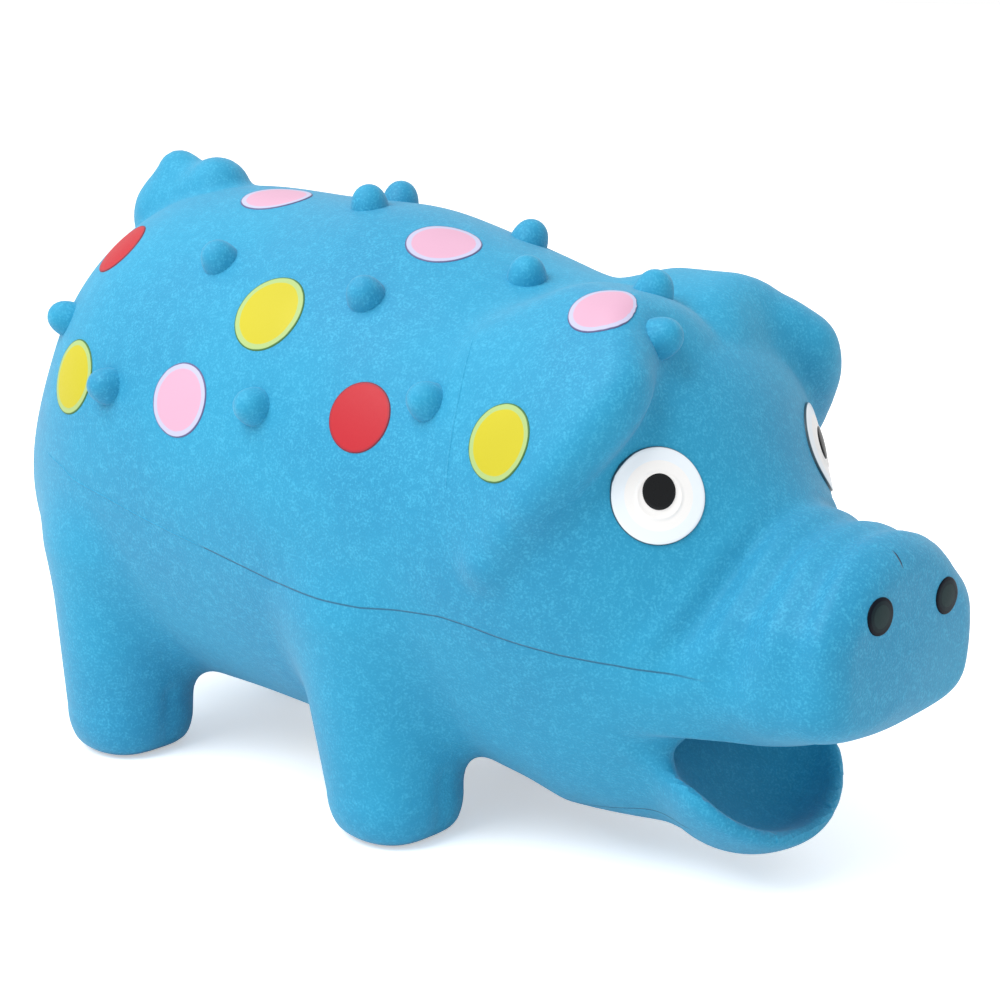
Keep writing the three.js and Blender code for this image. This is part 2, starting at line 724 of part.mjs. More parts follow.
function filmOn(place, radius, under, over) {
  const middle = seat(pig, place);
  const outward = new THREE.Vector3(...slope(pig, middle)).normalize();
  const across = new THREE.Vector3(1, 0, 0).projectOnPlane(outward).normalize();
  const along = new THREE.Vector3().crossVectors(outward, across);
  const vertices = [];
  for (const level of [under, over]) {
    vertices.push(seat(pig, middle, level));
    for (const ring of [radius / 2, radius]) {
      for (let side = 0; side < FILM_SIDES; side += 1) {
        const angle = (side * 2 * Math.PI) / FILM_SIDES;
        const point = new THREE.Vector3(...middle)
          .addScaledVector(across, ring * Math.cos(angle))
          .addScaledVector(along, ring * Math.sin(angle));
        vertices.push(seat(pig, point.toArray(), level));
      }
    }
  }
  const layer = 1 + 2 * FILM_SIDES;
  const triangles = [];
  for (let side = 0; side < FILM_SIDES; side += 1) {
    const next = (side + 1) % FILM_SIDES;
    const [inner, innerNext] = [1 + side, 1 + next];
    const [outer, outerNext] = [inner + FILM_SIDES, innerNext + FILM_SIDES];
    const top = [[0, inner, innerNext], [inner, outer, outerNext], [inner, outerNext, innerNext]];
    triangles.push(...top.map((corners) => corners.map((corner) => corner + layer)));
    triangles.push(...top.map(([a, b, c]) => [a, c, b]));
    triangles.push([outer, outerNext, outerNext + layer], [outer, outerNext + layer, outer + layer]);
  }
  const lifted = skin.translate(outward.multiplyScalar(PAINT_CLEARANCE).toArray());
  return solidFromTriangles(vertices, triangles).subtract(lifted);
}

const coat = PAINT_GAP + PAINT_THICKNESS;
const paintOn = (place, radius) => filmOn(place, radius, PAINT_GAP, coat);
const paintOver = (place, radius) => filmOn(place, radius, coat + PAINT_GAP, 2 * coat);

// Assembly

const assembly = new THREE.Group();

function addPiece(name, solid, finish) {
  const mesh = new THREE.Mesh(geometryFromSolid(solid), new THREE.MeshStandardMaterial(finish));
  mesh.name = name;
  assembly.add(mesh);
}

addPiece('latex_skin', skin, FINISHES.latex);
addPiece('fibre_filling', makeFilling(), FINISHES.fibre);
addPiece('grunter_case', makeCase(), FINISHES.caseShell);
addPiece('grunter_cap', makeCap(), FINISHES.caseShell);
addPiece('reed_tube', makeReedTube(), FINISHES.reedPlastic);
addPiece('reed_wedge', makeWedge(), FINISHES.reedPlastic);
addPiece('reed_tongue', makeTongue(), FINISHES.reedFilm);

const SIDES = [['right', -1], ['left', 1]];

for (const [name, side] of SIDES) {
  const onSide = ([x, y, z]) => [x, side * y, z];
  addPiece(`eye_white_${name}`, paintOn(onSide(EYE_AT), EYE_RADIUS), FINISHES.white);
  const pupilAt = onSide([EYE_AT[0], EYE_AT[1], EYE_AT[2] + PUPIL_RISE]);
  addPiece(`pupil_${name}`, paintOver(pupilAt, PUPIL_RADIUS), FINISHES.black);
  addPiece(`nostril_${name}`, paintOn(onSide(NOSTRIL_AT), NOSTRIL_RADIUS), FINISHES.black);
}

const spots = SPINE_SPOTS.concat(
  ...FLANK_SPOTS.map(({ near, far, at: [x, y, z] }) => [
    { colour: near, at: [x, -y, z] },
    { colour: far, at: [x, y, z] },
  ]),
);

const spotCounts = { pink: 0, yellow: 0, red: 0 };
for (const { colour, at } of spots) {
  spotCounts[colour] += 1;
  addPiece(`spot_${colour}_${spotCounts[colour]}`, paintOn(at, SPOT_RADII[colour]), FINISHES[colour]);
}

// The origin is under the middle of the pig's length
const part = new THREE.Group();
const length = new THREE.Box3().setFromObject(assembly);
assembly.position.x = -length.getCenter(new THREE.Vector3()).x;
part.add(assembly);

export default part;
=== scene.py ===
"""Latex pig dog toy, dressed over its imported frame.

The skin is one moulded piece of latex. Its shape is a field of signed distances, worked out in millimetres in
the pig's own frame (nose along +X, left side along +Y, soles at z = 0), and turned into meshes in metres in the
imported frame. Bumps, paint films and seams are laid on that skin by node trees.
"""

import logging
import math
from collections.abc import Callable, Iterable, Sequence
from dataclasses import dataclass, field
from enum import Enum
from typing import ClassVar

import bmesh
import bpy
import numpy as np
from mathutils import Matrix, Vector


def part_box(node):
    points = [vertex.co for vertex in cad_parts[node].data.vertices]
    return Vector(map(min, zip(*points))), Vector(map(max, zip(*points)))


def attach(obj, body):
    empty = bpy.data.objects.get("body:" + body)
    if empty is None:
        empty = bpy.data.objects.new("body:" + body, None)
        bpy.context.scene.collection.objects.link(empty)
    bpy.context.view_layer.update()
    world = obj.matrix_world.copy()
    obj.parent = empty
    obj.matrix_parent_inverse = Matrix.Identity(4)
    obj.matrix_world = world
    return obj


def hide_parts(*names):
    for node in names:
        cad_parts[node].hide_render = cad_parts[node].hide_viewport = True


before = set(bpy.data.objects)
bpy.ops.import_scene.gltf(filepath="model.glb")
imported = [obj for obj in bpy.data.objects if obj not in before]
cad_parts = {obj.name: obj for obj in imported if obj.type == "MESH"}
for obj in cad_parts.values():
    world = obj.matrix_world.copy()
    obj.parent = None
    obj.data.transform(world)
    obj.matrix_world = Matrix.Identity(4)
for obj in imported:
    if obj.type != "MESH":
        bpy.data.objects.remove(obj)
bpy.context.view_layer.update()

log = logging.getLogger("pig")

MM = 0.001
Triple = tuple[float, float, float]
Field = Callable[[np.ndarray], np.ndarray]


class Side(Enum):
    """The two sides of the pig, by the sign of y."""

    RIGHT = -1
    LEFT = 1


class Cut(Enum):
    """How another closed mesh meets a body."""

    ADD = "UNION"
    TAKE = "DIFFERENCE"


# Signed distances


def offset_from(points: np.ndarray, centre: Sequence[float]) -> np.ndarray:
    """Points as seen from a centre."""
    return points - np.asarray(centre, dtype=points.dtype)


def length_of(vectors: np.ndarray) -> np.ndarray:
    """Length of each row."""
    return np.sqrt(np.einsum("ij,ij->i", vectors, vectors))


def joined(a: np.ndarray, b: np.ndarray, blend: float | np.ndarray) -> np.ndarray:
    """Union of two fields.

    Args:
        a: Distances to the first shape.
        b: Distances to the second shape.
        blend: Width over which they run into each other.

    Returns:
        Distances to both together.
    """
    overlap = np.maximum(blend - np.abs(a - b), 0.0) / blend
    return np.minimum(a, b) - overlap * overlap * (blend / 4)


def met(a: np.ndarray, b: np.ndarray, blend: float) -> np.ndarray:
    """What two fields share, with a rounded edge."""
    return -joined(-a, -b, blend)


def carved(a: np.ndarray, b: np.ndarray, blend: float) -> np.ndarray:
    """The first field without the second, with a rounded edge."""
    return met(a, -b, blend)


def folded(points: np.ndarray) -> np.ndarray:
    """Points of both sides, all laid on the left one."""
    return np.column_stack([points[:, 0], np.abs(points[:, 1]), points[:, 2]])


def by_height(points: np.ndarray, stops: Sequence[tuple[float, float]]) -> np.ndarray:
    """A value for each point that follows its height, from pairs of height and value."""
    heights, values = zip(*stops)
    return np.interp(points[:, 2], heights, values)


@dataclass(frozen=True)
class Swelling:
    """An ellipsoid that runs into the shapes before it."""

    centre: Triple
    half: Triple
    blend: float = 0.0

    def distance(self, points: np.ndarray) -> np.ndarray:
        """Distance from each point to the swelling.

        Args:
            points: Points in millimetres.

        Returns:
            A distance for each, below zero inside.
        """
        offset = offset_from(points, self.centre)
        half = np.asarray(self.half, dtype=points.dtype)
        scaled = length_of(offset / half)
        slope = np.maximum(length_of(offset / half**2), 1e-6)
        return scaled * (scaled - 1) / slope


@dataclass(frozen=True)
class Limb:
    """A straight limb with round ends and a radius that changes along it."""

    start: Triple
    end: Triple
    start_radius: float
    end_radius: float
    blend: float = 0.0

    def distance(self, points: np.ndarray) -> np.ndarray:
        """Distance from each point to the limb.

        Args:
            points: Points in millimetres.

        Returns:
            A distance for each, below zero inside.
        """
        axis = np.subtract(self.end, self.start).astype(points.dtype)
        offset = offset_from(points, self.start)
        along = np.clip(offset @ axis / (axis @ axis), 0, 1)
        nearest = along[:, None] * axis
        radius = self.start_radius + (self.end_radius - self.start_radius) * along
        return length_of(offset - nearest) - radius


@dataclass(frozen=True)
class Nose:
    """The flat end of the snout: one rounded plate across x, round above and square below."""

    x: float = 91.7
    half_x: float = 10.0
    edge: float = 6.5
    crown: float = 0.6
    crown_half: tuple[float, float, float] = (47.0, 23.0, 17.0)
    top: tuple[float, float, float, float] = (49.9, 19.8, 14.2, 2.0)
    base: tuple[float, float, float, float] = (44.0, 23.0, 11.7, 4.0)
    blend: float = 4.1

    @staticmethod
    def radial(points: np.ndarray, z: float, half_y: float, half_z: float, squareness: float) -> np.ndarray:
        """Distance across x to an outline about a height, from an ellipse to a rounded square.

        Args:
            points: Points in millimetres.
            z: Height of the outline's middle.
            half_y: Half its width.
            half_z: Half its height.
            squareness: 2 for an ellipse, more for a squarer outline.

        Returns:
            A distance for each, below zero inside the outline.
        """
        height = points[:, 2] - z
        powers = np.abs(points[:, 1] / half_y) ** squareness + np.abs(height / half_z) ** squareness
        scaled = powers ** (1 / squareness)
        reach = np.hypot(points[:, 1], height)
        return np.where(scaled > 1e-6, (scaled - 1) * reach / np.maximum(scaled, 1e-6), -half_z)

    def distance(self, points: np.ndarray) -> np.ndarray:
        """Distance from each point to the plate.

        Args:
            points: Points in millimetres.

        Returns:
            A distance for each, below zero inside.
        """
        radial = joined(self.radial(points, *self.top), self.radial(points, *self.base), self.blend)
        z, half_y, half_z = self.crown_half
        fall = np.minimum((points[:, 1] / half_y) ** 2 + ((points[:, 2] - z) / half_z) ** 2, 2.0)
        axial = np.abs(points[:, 0] - self.x) - self.half_x + self.crown * fall
        corner = np.hypot(np.maximum(radial + self.edge, 0), np.maximum(axial + self.edge, 0))
        return np.minimum(np.maximum(radial, axial) + self.edge, 0) + corner - self.edge


# The pig


@dataclass(frozen=True)
class Leg:
    """One leg of the left side, from its hoof to its thigh."""

    x: float
    thigh_x: float
    thigh_radius: float
    spread: float = 26.5
    thigh_z: float = 40.0
    thigh_inset: float = 1.5
    hoof_radius: float = 12.0
    hoof_z: float = 8.0
    toe_spread: float = 4.7
    toe_reach: float = 3.6
    toe_half: Triple = (5.8, 5.0, 7.5)
    toe_z: float = 6.5
    toe_blend: float = 4.0
    cleft_radius: float = 1.3
    cleft_flare: float = 1.0
    cleft_height: float = 12.5
    cleft_out: float = 1.5
    cleft_rounding: float = 2.2

    def distance(self, points: np.ndarray) -> np.ndarray:
        """Distance from each point to the leg, its toes and the cleft between them.

        Args:
            points: Points in millimetres.

        Returns:
            A distance for each, below zero inside.
        """
        hoof = (self.x, self.spread, self.hoof_z)
        thigh = (self.thigh_x, self.spread - self.thigh_inset, self.thigh_z)
        shape = Limb(hoof, thigh, self.hoof_radius, self.thigh_radius).distance(points)
        for side in Side:
            centre = (self.x + self.toe_reach, self.spread + side.value * self.toe_spread, self.toe_z)
            shape = joined(shape, Swelling(centre, self.toe_half).distance(points), self.toe_blend)
        front = self.x + self.hoof_radius + self.cleft_out
        foot = (front, self.spread, -self.hoof_z)
        top = (front, self.spread, self.cleft_height)
        cleft = Limb(foot, top, self.cleft_radius + self.cleft_flare, self.cleft_radius).distance(points)
        return carved(shape, cleft, self.cleft_rounding)


@dataclass(frozen=True)
class Ear:
    """A folded flap on the left side: rods from its rear edge to its front edge, softly merged."""

    rear: tuple[Triple, ...] = (
        (45.0, 6.0, 92.5), (45.0, 15.0, 95.3), (35.0, 21.5, 88.0),
        (32.5, 28.0, 81.0), (34.5, 31.5, 71.0), (39.0, 32.5, 60.0),
    )
    front: tuple[Triple, ...] = (
        (55.0, 7.0, 92.5), (53.0, 16.5, 95.8), (62.5, 25.8, 88.5),
        (59.8, 31.0, 81.0), (53.5, 35.5, 71.0), (43.5, 36.5, 57.5),
    )
    rods: int = 13
    softness: float = 2.0
    half_thickness: float = 4.2
    blends: tuple[tuple[float, float], ...] = ((60.0, 2.5), (84.0, 3.5), (93.0, 8.0))

    def distance(self, points: np.ndarray) -> np.ndarray:
        """Distance from each point to the flap.

        Args:
            points: Points in millimetres.

        Returns:
            A distance for each, below zero inside.
        """
        places = np.linspace(0, len(self.rear) - 1, self.rods)
        corners = np.arange(len(self.rear))
        rears, fronts = (
            np.stack([np.interp(places, corners, column) for column in zip(*edge)], axis=1)
            for edge in (self.rear, self.front)
        )
        total = np.zeros(len(points), dtype=points.dtype)
        for rear, front in zip(rears, fronts):
            rod = (front - rear).astype(points.dtype)
            offset = offset_from(points, rear)
            along = np.clip(offset @ rod / (rod @ rod), 0, 1)
            total += np.exp(-length_of(offset - along[:, None] * rod) / self.softness)
        return -self.softness * np.log(np.maximum(total, 1e-30)) - self.half_thickness


@dataclass(frozen=True)
class Mouth:
    """The open mouth: a roof cut into the snout, a lower jaw cut off along its lip, and a bowl behind the lip."""

    roof: Swelling = Swelling((71.0, 0.0, 9.0), (30.0, 60.0, 18.7), 4.0)
    roof_rounding: float = 2.0
    jaw_root: Limb = Limb((48.0, 0.0, 28.0), (69.0, 0.0, 20.0), 23.5, 14.5)
    chin: Swelling = Swelling((73.3, 0.0, 22.5), (17.2, 21.4, 16.5), 6.0)
    lip_point: Triple = (84.5, 0.0, 10.3)
    lip_lean: float = math.radians(40.5)
    lip_rounding: float = 3.6
    bowl_wall: float = 3.2
    bowl_depth: float = 11.0
    bowl_rounding: float = 8.0
    corner: Limb = Limb((64.0, 25.8, 26.8), (74.0, 14.5, 25.0), 0.8, 3.8, 4.0)

    def ahead_of_lips(self, points: np.ndarray) -> np.ndarray:
        """How far each point lies in front of the plane of the lower lip."""
        offset = offset_from(points, self.lip_point)
        return offset[:, 0] * math.cos(self.lip_lean) + offset[:, 2] * math.sin(self.lip_lean)

    def roof_distance(self, points: np.ndarray) -> np.ndarray:
        """Distance from each point to what is cut out of the head."""
        return met(self.roof.distance(points), -self.ahead_of_lips(points), self.roof_rounding)

    def full_jaw(self, points: np.ndarray) -> np.ndarray:
        """Distance from each point to the lower jaw before it is cut off and hollowed."""
        return joined(self.jaw_root.distance(points), self.chin.distance(points), self.chin.blend)

    def jaw_distance(self, points: np.ndarray) -> np.ndarray:
        """Distance from each point to the lower jaw, cut off along its lip."""
        return met(self.full_jaw(points), self.ahead_of_lips(points), self.lip_rounding)

    def bowl_distance(self, points: np.ndarray) -> np.ndarray:
        """Distance from each point to the bowl inside the lower lip, drawn out to the corner of the mouth.

        Args:
            points: Points in millimetres.

        Returns:
            A distance for each, below zero where the bowl is.
        """
        floor = -self.ahead_of_lips(points) - self.bowl_depth
        room = met(self.full_jaw(points) + self.bowl_wall, floor, self.bowl_rounding)
        behind_lip = met(room, self.roof.distance(points), self.lip_rounding)
        return joined(behind_lip, self.corner.distance(points), self.corner.blend)


@dataclass(frozen=True)
class Wrinkles:
    """Soft rings round the snout, leaning forwards towards its top."""

    first: float = 74.2
    pitch: float = 7.7
    depth: float = 0.6
    middle_z: float = 60.0
    lean: float = -0.25
    lean_change: float = 0.022
    lean_x: float = 78.0
    ends: tuple[float, float, float, float] = (73.0, 77.0, 95.0, 98.0)
    heights: tuple[float, float, float, float] = (38.0, 48.0, 60.0, 69.0)

    def height(self, points: np.ndarray) -> np.ndarray:
        """How far the skin stands out at each point.

        Args:
            points: Points in millimetres.

        Returns:
            A height for each, below zero in the grooves.
        """
        x, z = points[:, 0], points[:, 2]
        along = x + (self.lean + self.lean_change * (x - self.lean_x)) * (z - self.middle_z)
        window = np.interp(along, self.ends, (0, 1, 1, 0)) * np.interp(z, self.heights, (0, 1, 1, 0))
        return self.depth * window * np.cos(2 * math.pi * (along - self.first) / self.pitch)


@dataclass(frozen=True)
class PigShape:
    """The outer shape of the pig and the hollow inside it, as fields in millimetres."""

    rump: Swelling = Swelling((-49.0, 0.0, 61.0), (44.5, 41.0, 48.5))
    trunk_swellings: tuple[Swelling, ...] = (
        Swelling((-58.0, 0.0, 50.0), (41.0, 37.0, 34.0), 8.0),
        Swelling((-12.0, 0.0, 59.5), (50.0, 42.0, 49.5), 14.0),
        Swelling((22.5, 0.0, 56.5), (42.0, 40.0, 43.0), 14.0),
        Swelling((46.0, 0.0, 33.0), (30.0, 27.0, 25.5), 14.0),
        Swelling((45.0, 0.0, 61.0), (31.0, 37.0, 34.0), 12.0),
        Swelling((48.5, 0.0, 78.0), (17.0, 25.0, 14.0), 12.0),
    )
    snout_root: Limb = Limb((62.0, 0.0, 47.0), (78.5, 0.0, 47.2), 19.5, 15.0, 16.5)
    upper_lip: Swelling = Swelling((72.0, 0.0, 40.0), (20.0, 23.0, 13.0), 5.0)
    nose: Nose = Nose()
    nose_blends: tuple[tuple[float, float], ...] = ((46.0, 14.0), (60.0, 6.0))
    mouth: Mouth = Mouth()
    rear_leg: Leg = Leg(x=-61.0, thigh_x=-60.5, thigh_radius=16.0)
    front_leg: Leg = Leg(x=11.5, thigh_x=9.0, thigh_radius=17.0)
    leg_blend: float = 6.0
    sole_rounding: float = 3.0
    ear: Ear = Ear()
    tail_curl: Limb = Limb((-72.0, 0.0, 101.2), (-60.0, 0.0, 107.8), 8.6, 6.7)
    tail_tip: Limb = Limb((-73.0, 0.0, 105.0), (-71.0, 0.0, 111.2), 5.2, 4.0, 5.0)
    tail_blend: float = 2.0
    wrinkles: Wrinkles = Wrinkles()
    solid_jaw: Swelling = Swelling((82.0, 0.0, 20.0), (26.0, 30.0, 20.0), 4.0)
    wall: float = 2.8

    def core(self, points: np.ndarray) -> np.ndarray:
        """The pig without its ears and tail.

        Args:
            points: Points in millimetres.

        Returns:
            A distance for each, below zero inside.
        """
        shape = self.rump.distance(points)
        for swelling in self.trunk_swellings:
            shape = joined(shape, swelling.distance(points), swelling.blend)
        lipped = joined(self.snout_root.distance(points), self.upper_lip.distance(points), self.upper_lip.blend)
        snout = joined(lipped, self.nose.distance(points), by_height(points, self.nose_blends))
        shape = joined(shape, snout, self.snout_root.blend)
        shape = carved(shape, self.mouth.roof_distance(points), self.mouth.roof.blend)
        shape = joined(shape, self.mouth.jaw_distance(points), self.mouth.lip_rounding)
        shape = carved(shape, self.mouth.bowl_distance(points), self.mouth.lip_rounding)
        for leg in (self.rear_leg, self.front_leg):
            shape = joined(shape, leg.distance(points), self.leg_blend)
        return met(shape, -points[:, 2], self.sole_rounding)

    def outside(self, points: np.ndarray) -> np.ndarray:
        """Distance to the whole skin, without its bumps.

        Args:
            points: Points in millimetres.

        Returns:
            A distance for each, below zero inside.
        """
        half = folded(points)
        tail = joined(self.tail_curl.distance(half), self.tail_tip.distance(half), self.tail_tip.blend)
        eared = joined(self.core(half), self.ear.distance(half), by_height(half, self.ear.blends))
        return joined(eared, tail, self.tail_blend) - self.wrinkles.height(half)

    def hollow(self, points: np.ndarray) -> np.ndarray:
        """Distance to the room inside the wall, which keeps out of the solid jaw."""
        half = folded(points)
        return carved(self.core(half), self.solid_jaw.distance(half), self.solid_jaw.blend) + self.wall


def slope_of(shape: Field, points: np.ndarray, step: float = 0.05) -> np.ndarray:
    """Gradient of a field at each point, by differences over a small step.

    Args:
        shape: The field.
        points: Points in millimetres.
        step: How far apart the values are taken.

    Returns:
        A vector for each point, which points outwards.
    """
    columns = []
    for axis in range(3):
        shift = np.zeros(3)
        shift[axis] = step
        columns.append((shape(points + shift) - shape(points - shift)) / (2 * step))
    return np.stack(columns, axis=1)


def settled(shape: Field, points: np.ndarray, level: float | np.ndarray = 0.0, rounds: int = 4) -> np.ndarray:
    """Points moved onto a level of a field.

    Args:
        shape: The field.
        points: Where the points start.
        level: The distance from the surface at which each ends.
        rounds: How often each is corrected.

    Returns:
        The moved points.
    """
    places = points.astype(np.float64)
    for _ in range(rounds):
        slope = slope_of(shape, places)
        steepness = np.maximum(np.einsum("ij,ij->i", slope, slope), 0.05)
        places = places - slope * ((shape(places) - level) / steepness)[:, None]
    return places


@dataclass(frozen=True)
class FineLine:
    """A hairline of the mould along the right side, mirrored to the left one where it has a twin there."""

    route: tuple[Triple, ...]
    depth: float
    twin: bool = True
    reach: float = 3.0
    fade: float = 0.07

    def measured(self, points: np.ndarray, facing: np.ndarray, side: Side) -> tuple[np.ndarray, np.ndarray]:
        """Where points lie beside the line.

        Args:
            points: Points on the skin in millimetres.
            facing: The way that the skin faces at each.
            side: The side that the line is taken on.

        Returns:
            The signed distance sideways from the line, and the line's depth there, which is zero out of its reach.
        """
        corners = np.array(self.route, float) * (1, -side.value, 1)
        walked = np.concatenate([[0], np.cumsum(length_of(np.diff(corners, axis=0)))])
        best = np.full(len(points), np.inf)
        aside, depth = np.zeros(len(points)), np.zeros(len(points))
        for start, end, before, after in zip(corners, corners[1:], walked, walked[1:]):
            way = end - start
            offset = points - start
            share = np.clip(offset @ way / (way @ way), 0, 1)
            gap = offset - share[:, None] * way
            across = np.cross(facing, way)
            lateral = np.einsum("ij,ij->i", gap, across) / np.maximum(length_of(across), 1e-6)
            place = (before + share * (after - before)) / walked[-1]
            nearer = length_of(gap) < best
            best = np.where(nearer, length_of(gap), best)
            aside = np.where(nearer, lateral, aside)
            faded = np.interp(place, (0, self.fade, 1 - self.fade, 1), (0, 1, 1, 0))
            depth = np.where(nearer, self.depth * faded, depth)
        return aside, np.where(best < self.reach, depth, 0.0)


CORNERS = np.array([[x, y, z] for z in (0, 1) for y in (0, 1) for x in (0, 1)])
EDGES = [(a, a | 1 << axis) for a in range(8) for axis in range(3) if not a >> axis & 1]


@dataclass(frozen=True)
class Mesher:
    """Turns a field into a closed mesh of quads on an even grid."""

    step: float
    low: Triple = (-106.0, -50.0, -6.0)
    high: Triple = (108.0, 50.0, 122.0)
    most_moved: float = 0.6

    def mesh(self, shape: Field, refine: bool = True) -> tuple[np.ndarray, np.ndarray]:
        """Makes the mesh of the surface where the field is zero.

        Args:
            shape: The field in millimetres.
            refine: Whether the vertices are moved onto the surface exactly.

        Returns:
            Vertices in millimetres, and quads that face outwards.
        """
        low = np.array([self.low[0], -math.ceil(-self.low[1] / self.step) * self.step, self.low[2]])
        size = np.ceil((np.array(self.high) - low) / self.step).astype(int) + 1
        size[1] = 2 * round(-low[1] / self.step) + 1
        axes = [low[axis] + self.step * np.arange(size[axis]) for axis in range(3)]
        grid = np.stack(np.meshgrid(*axes, indexing="ij"), axis=-1).reshape(-1, 3)
        values = self.sampled(shape, grid.astype(np.float32)).reshape(size)
        inside = values < 0
        inner = size - 1
        counts = sum(inside[tuple(slice(c[a], c[a] + inner[a]) for a in range(3))].astype(np.int8) for c in CORNERS)
        cells = np.argwhere((counts > 0) & (counts < 8))
        corner_values = np.stack([values[tuple((cells + corner).T)] for corner in CORNERS], axis=1)
        total = np.zeros((len(cells), 3))
        crossings = np.zeros(len(cells))
        for a, b in EDGES:
            start, end = corner_values[:, a], corner_values[:, b]
            crossed = (start < 0) != (end < 0)
            share = np.where(crossed, start / np.where(crossed, start - end, 1), 0)
            total += crossed[:, None] * (CORNERS[a] + share[:, None] * (CORNERS[b] - CORNERS[a]))
            crossings += crossed
        vertices = low + self.step * (cells + total / crossings[:, None])
        if refine:
            moved = settled(shape, vertices, rounds=2) - vertices
            far = length_of(moved)[:, None]
            vertices = vertices + moved * np.minimum(1, self.most_moved * self.step / np.maximum(far, 1e-9))
        index = np.full(size, -1)
        index[tuple(cells.T)] = np.arange(len(cells))
        return vertices, np.concatenate([self.quads(inside, index, axis) for axis in range(3)])

    @staticmethod
    def sampled(shape: Field, points: np.ndarray, block: int = 400_000) -> np.ndarray:
        """The field at many points, worked out in blocks to save memory.

        Args:
            shape: The field.
            points: Points in millimetres.
            block: The most points at a time.

        Returns:
            The values.
        """
        return np.concatenate([shape(points[start : start + block]) for start in range(0, len(points), block)])

    @staticmethod
    def quads(inside: np.ndarray, index: np.ndarray, axis: int) -> np.ndarray:
        """Quads round the grid lines along one axis that cross the surface.

        Args:
            inside: Whether each grid point lies inside.
            index: The vertex of each cell, or -1.
            axis: The axis that the grid lines follow.

        Returns:
            The four vertices of each quad, turned to face outwards.
        """
        first = np.moveaxis(inside, axis, 0)
        crossed = np.argwhere(first[:-1] != first[1:])
        order = [axis] + [other for other in range(3) if other != axis]
        nodes = np.empty_like(crossed)
        nodes[:, order] = crossed
        across, along = (axis + 1) % 3, (axis + 2) % 3
        ring = []
        for step_across, step_along in ((0, 0), (1, 0), (1, 1), (0, 1)):
            cell = nodes.copy()
            cell[:, across] -= step_across
            cell[:, along] -= step_along
            ring.append(index[tuple(cell.T)])
        faces = np.stack(ring, axis=1)
        outwards = inside[tuple(nodes.T)]
        faces[~outwards] = faces[~outwards][:, ::-1]
        return faces


# Meshes and node sheets


def added(name: str, data: bpy.types.ID) -> bpy.types.Object:
    """A new object of the scene that shows the given data.

    Args:
        name: Name of the object.
        data: What it shows.

    Returns:
        The object, linked to the scene.
    """
    made = bpy.data.objects.new(name, data)
    bpy.context.scene.collection.objects.link(made)
    return made


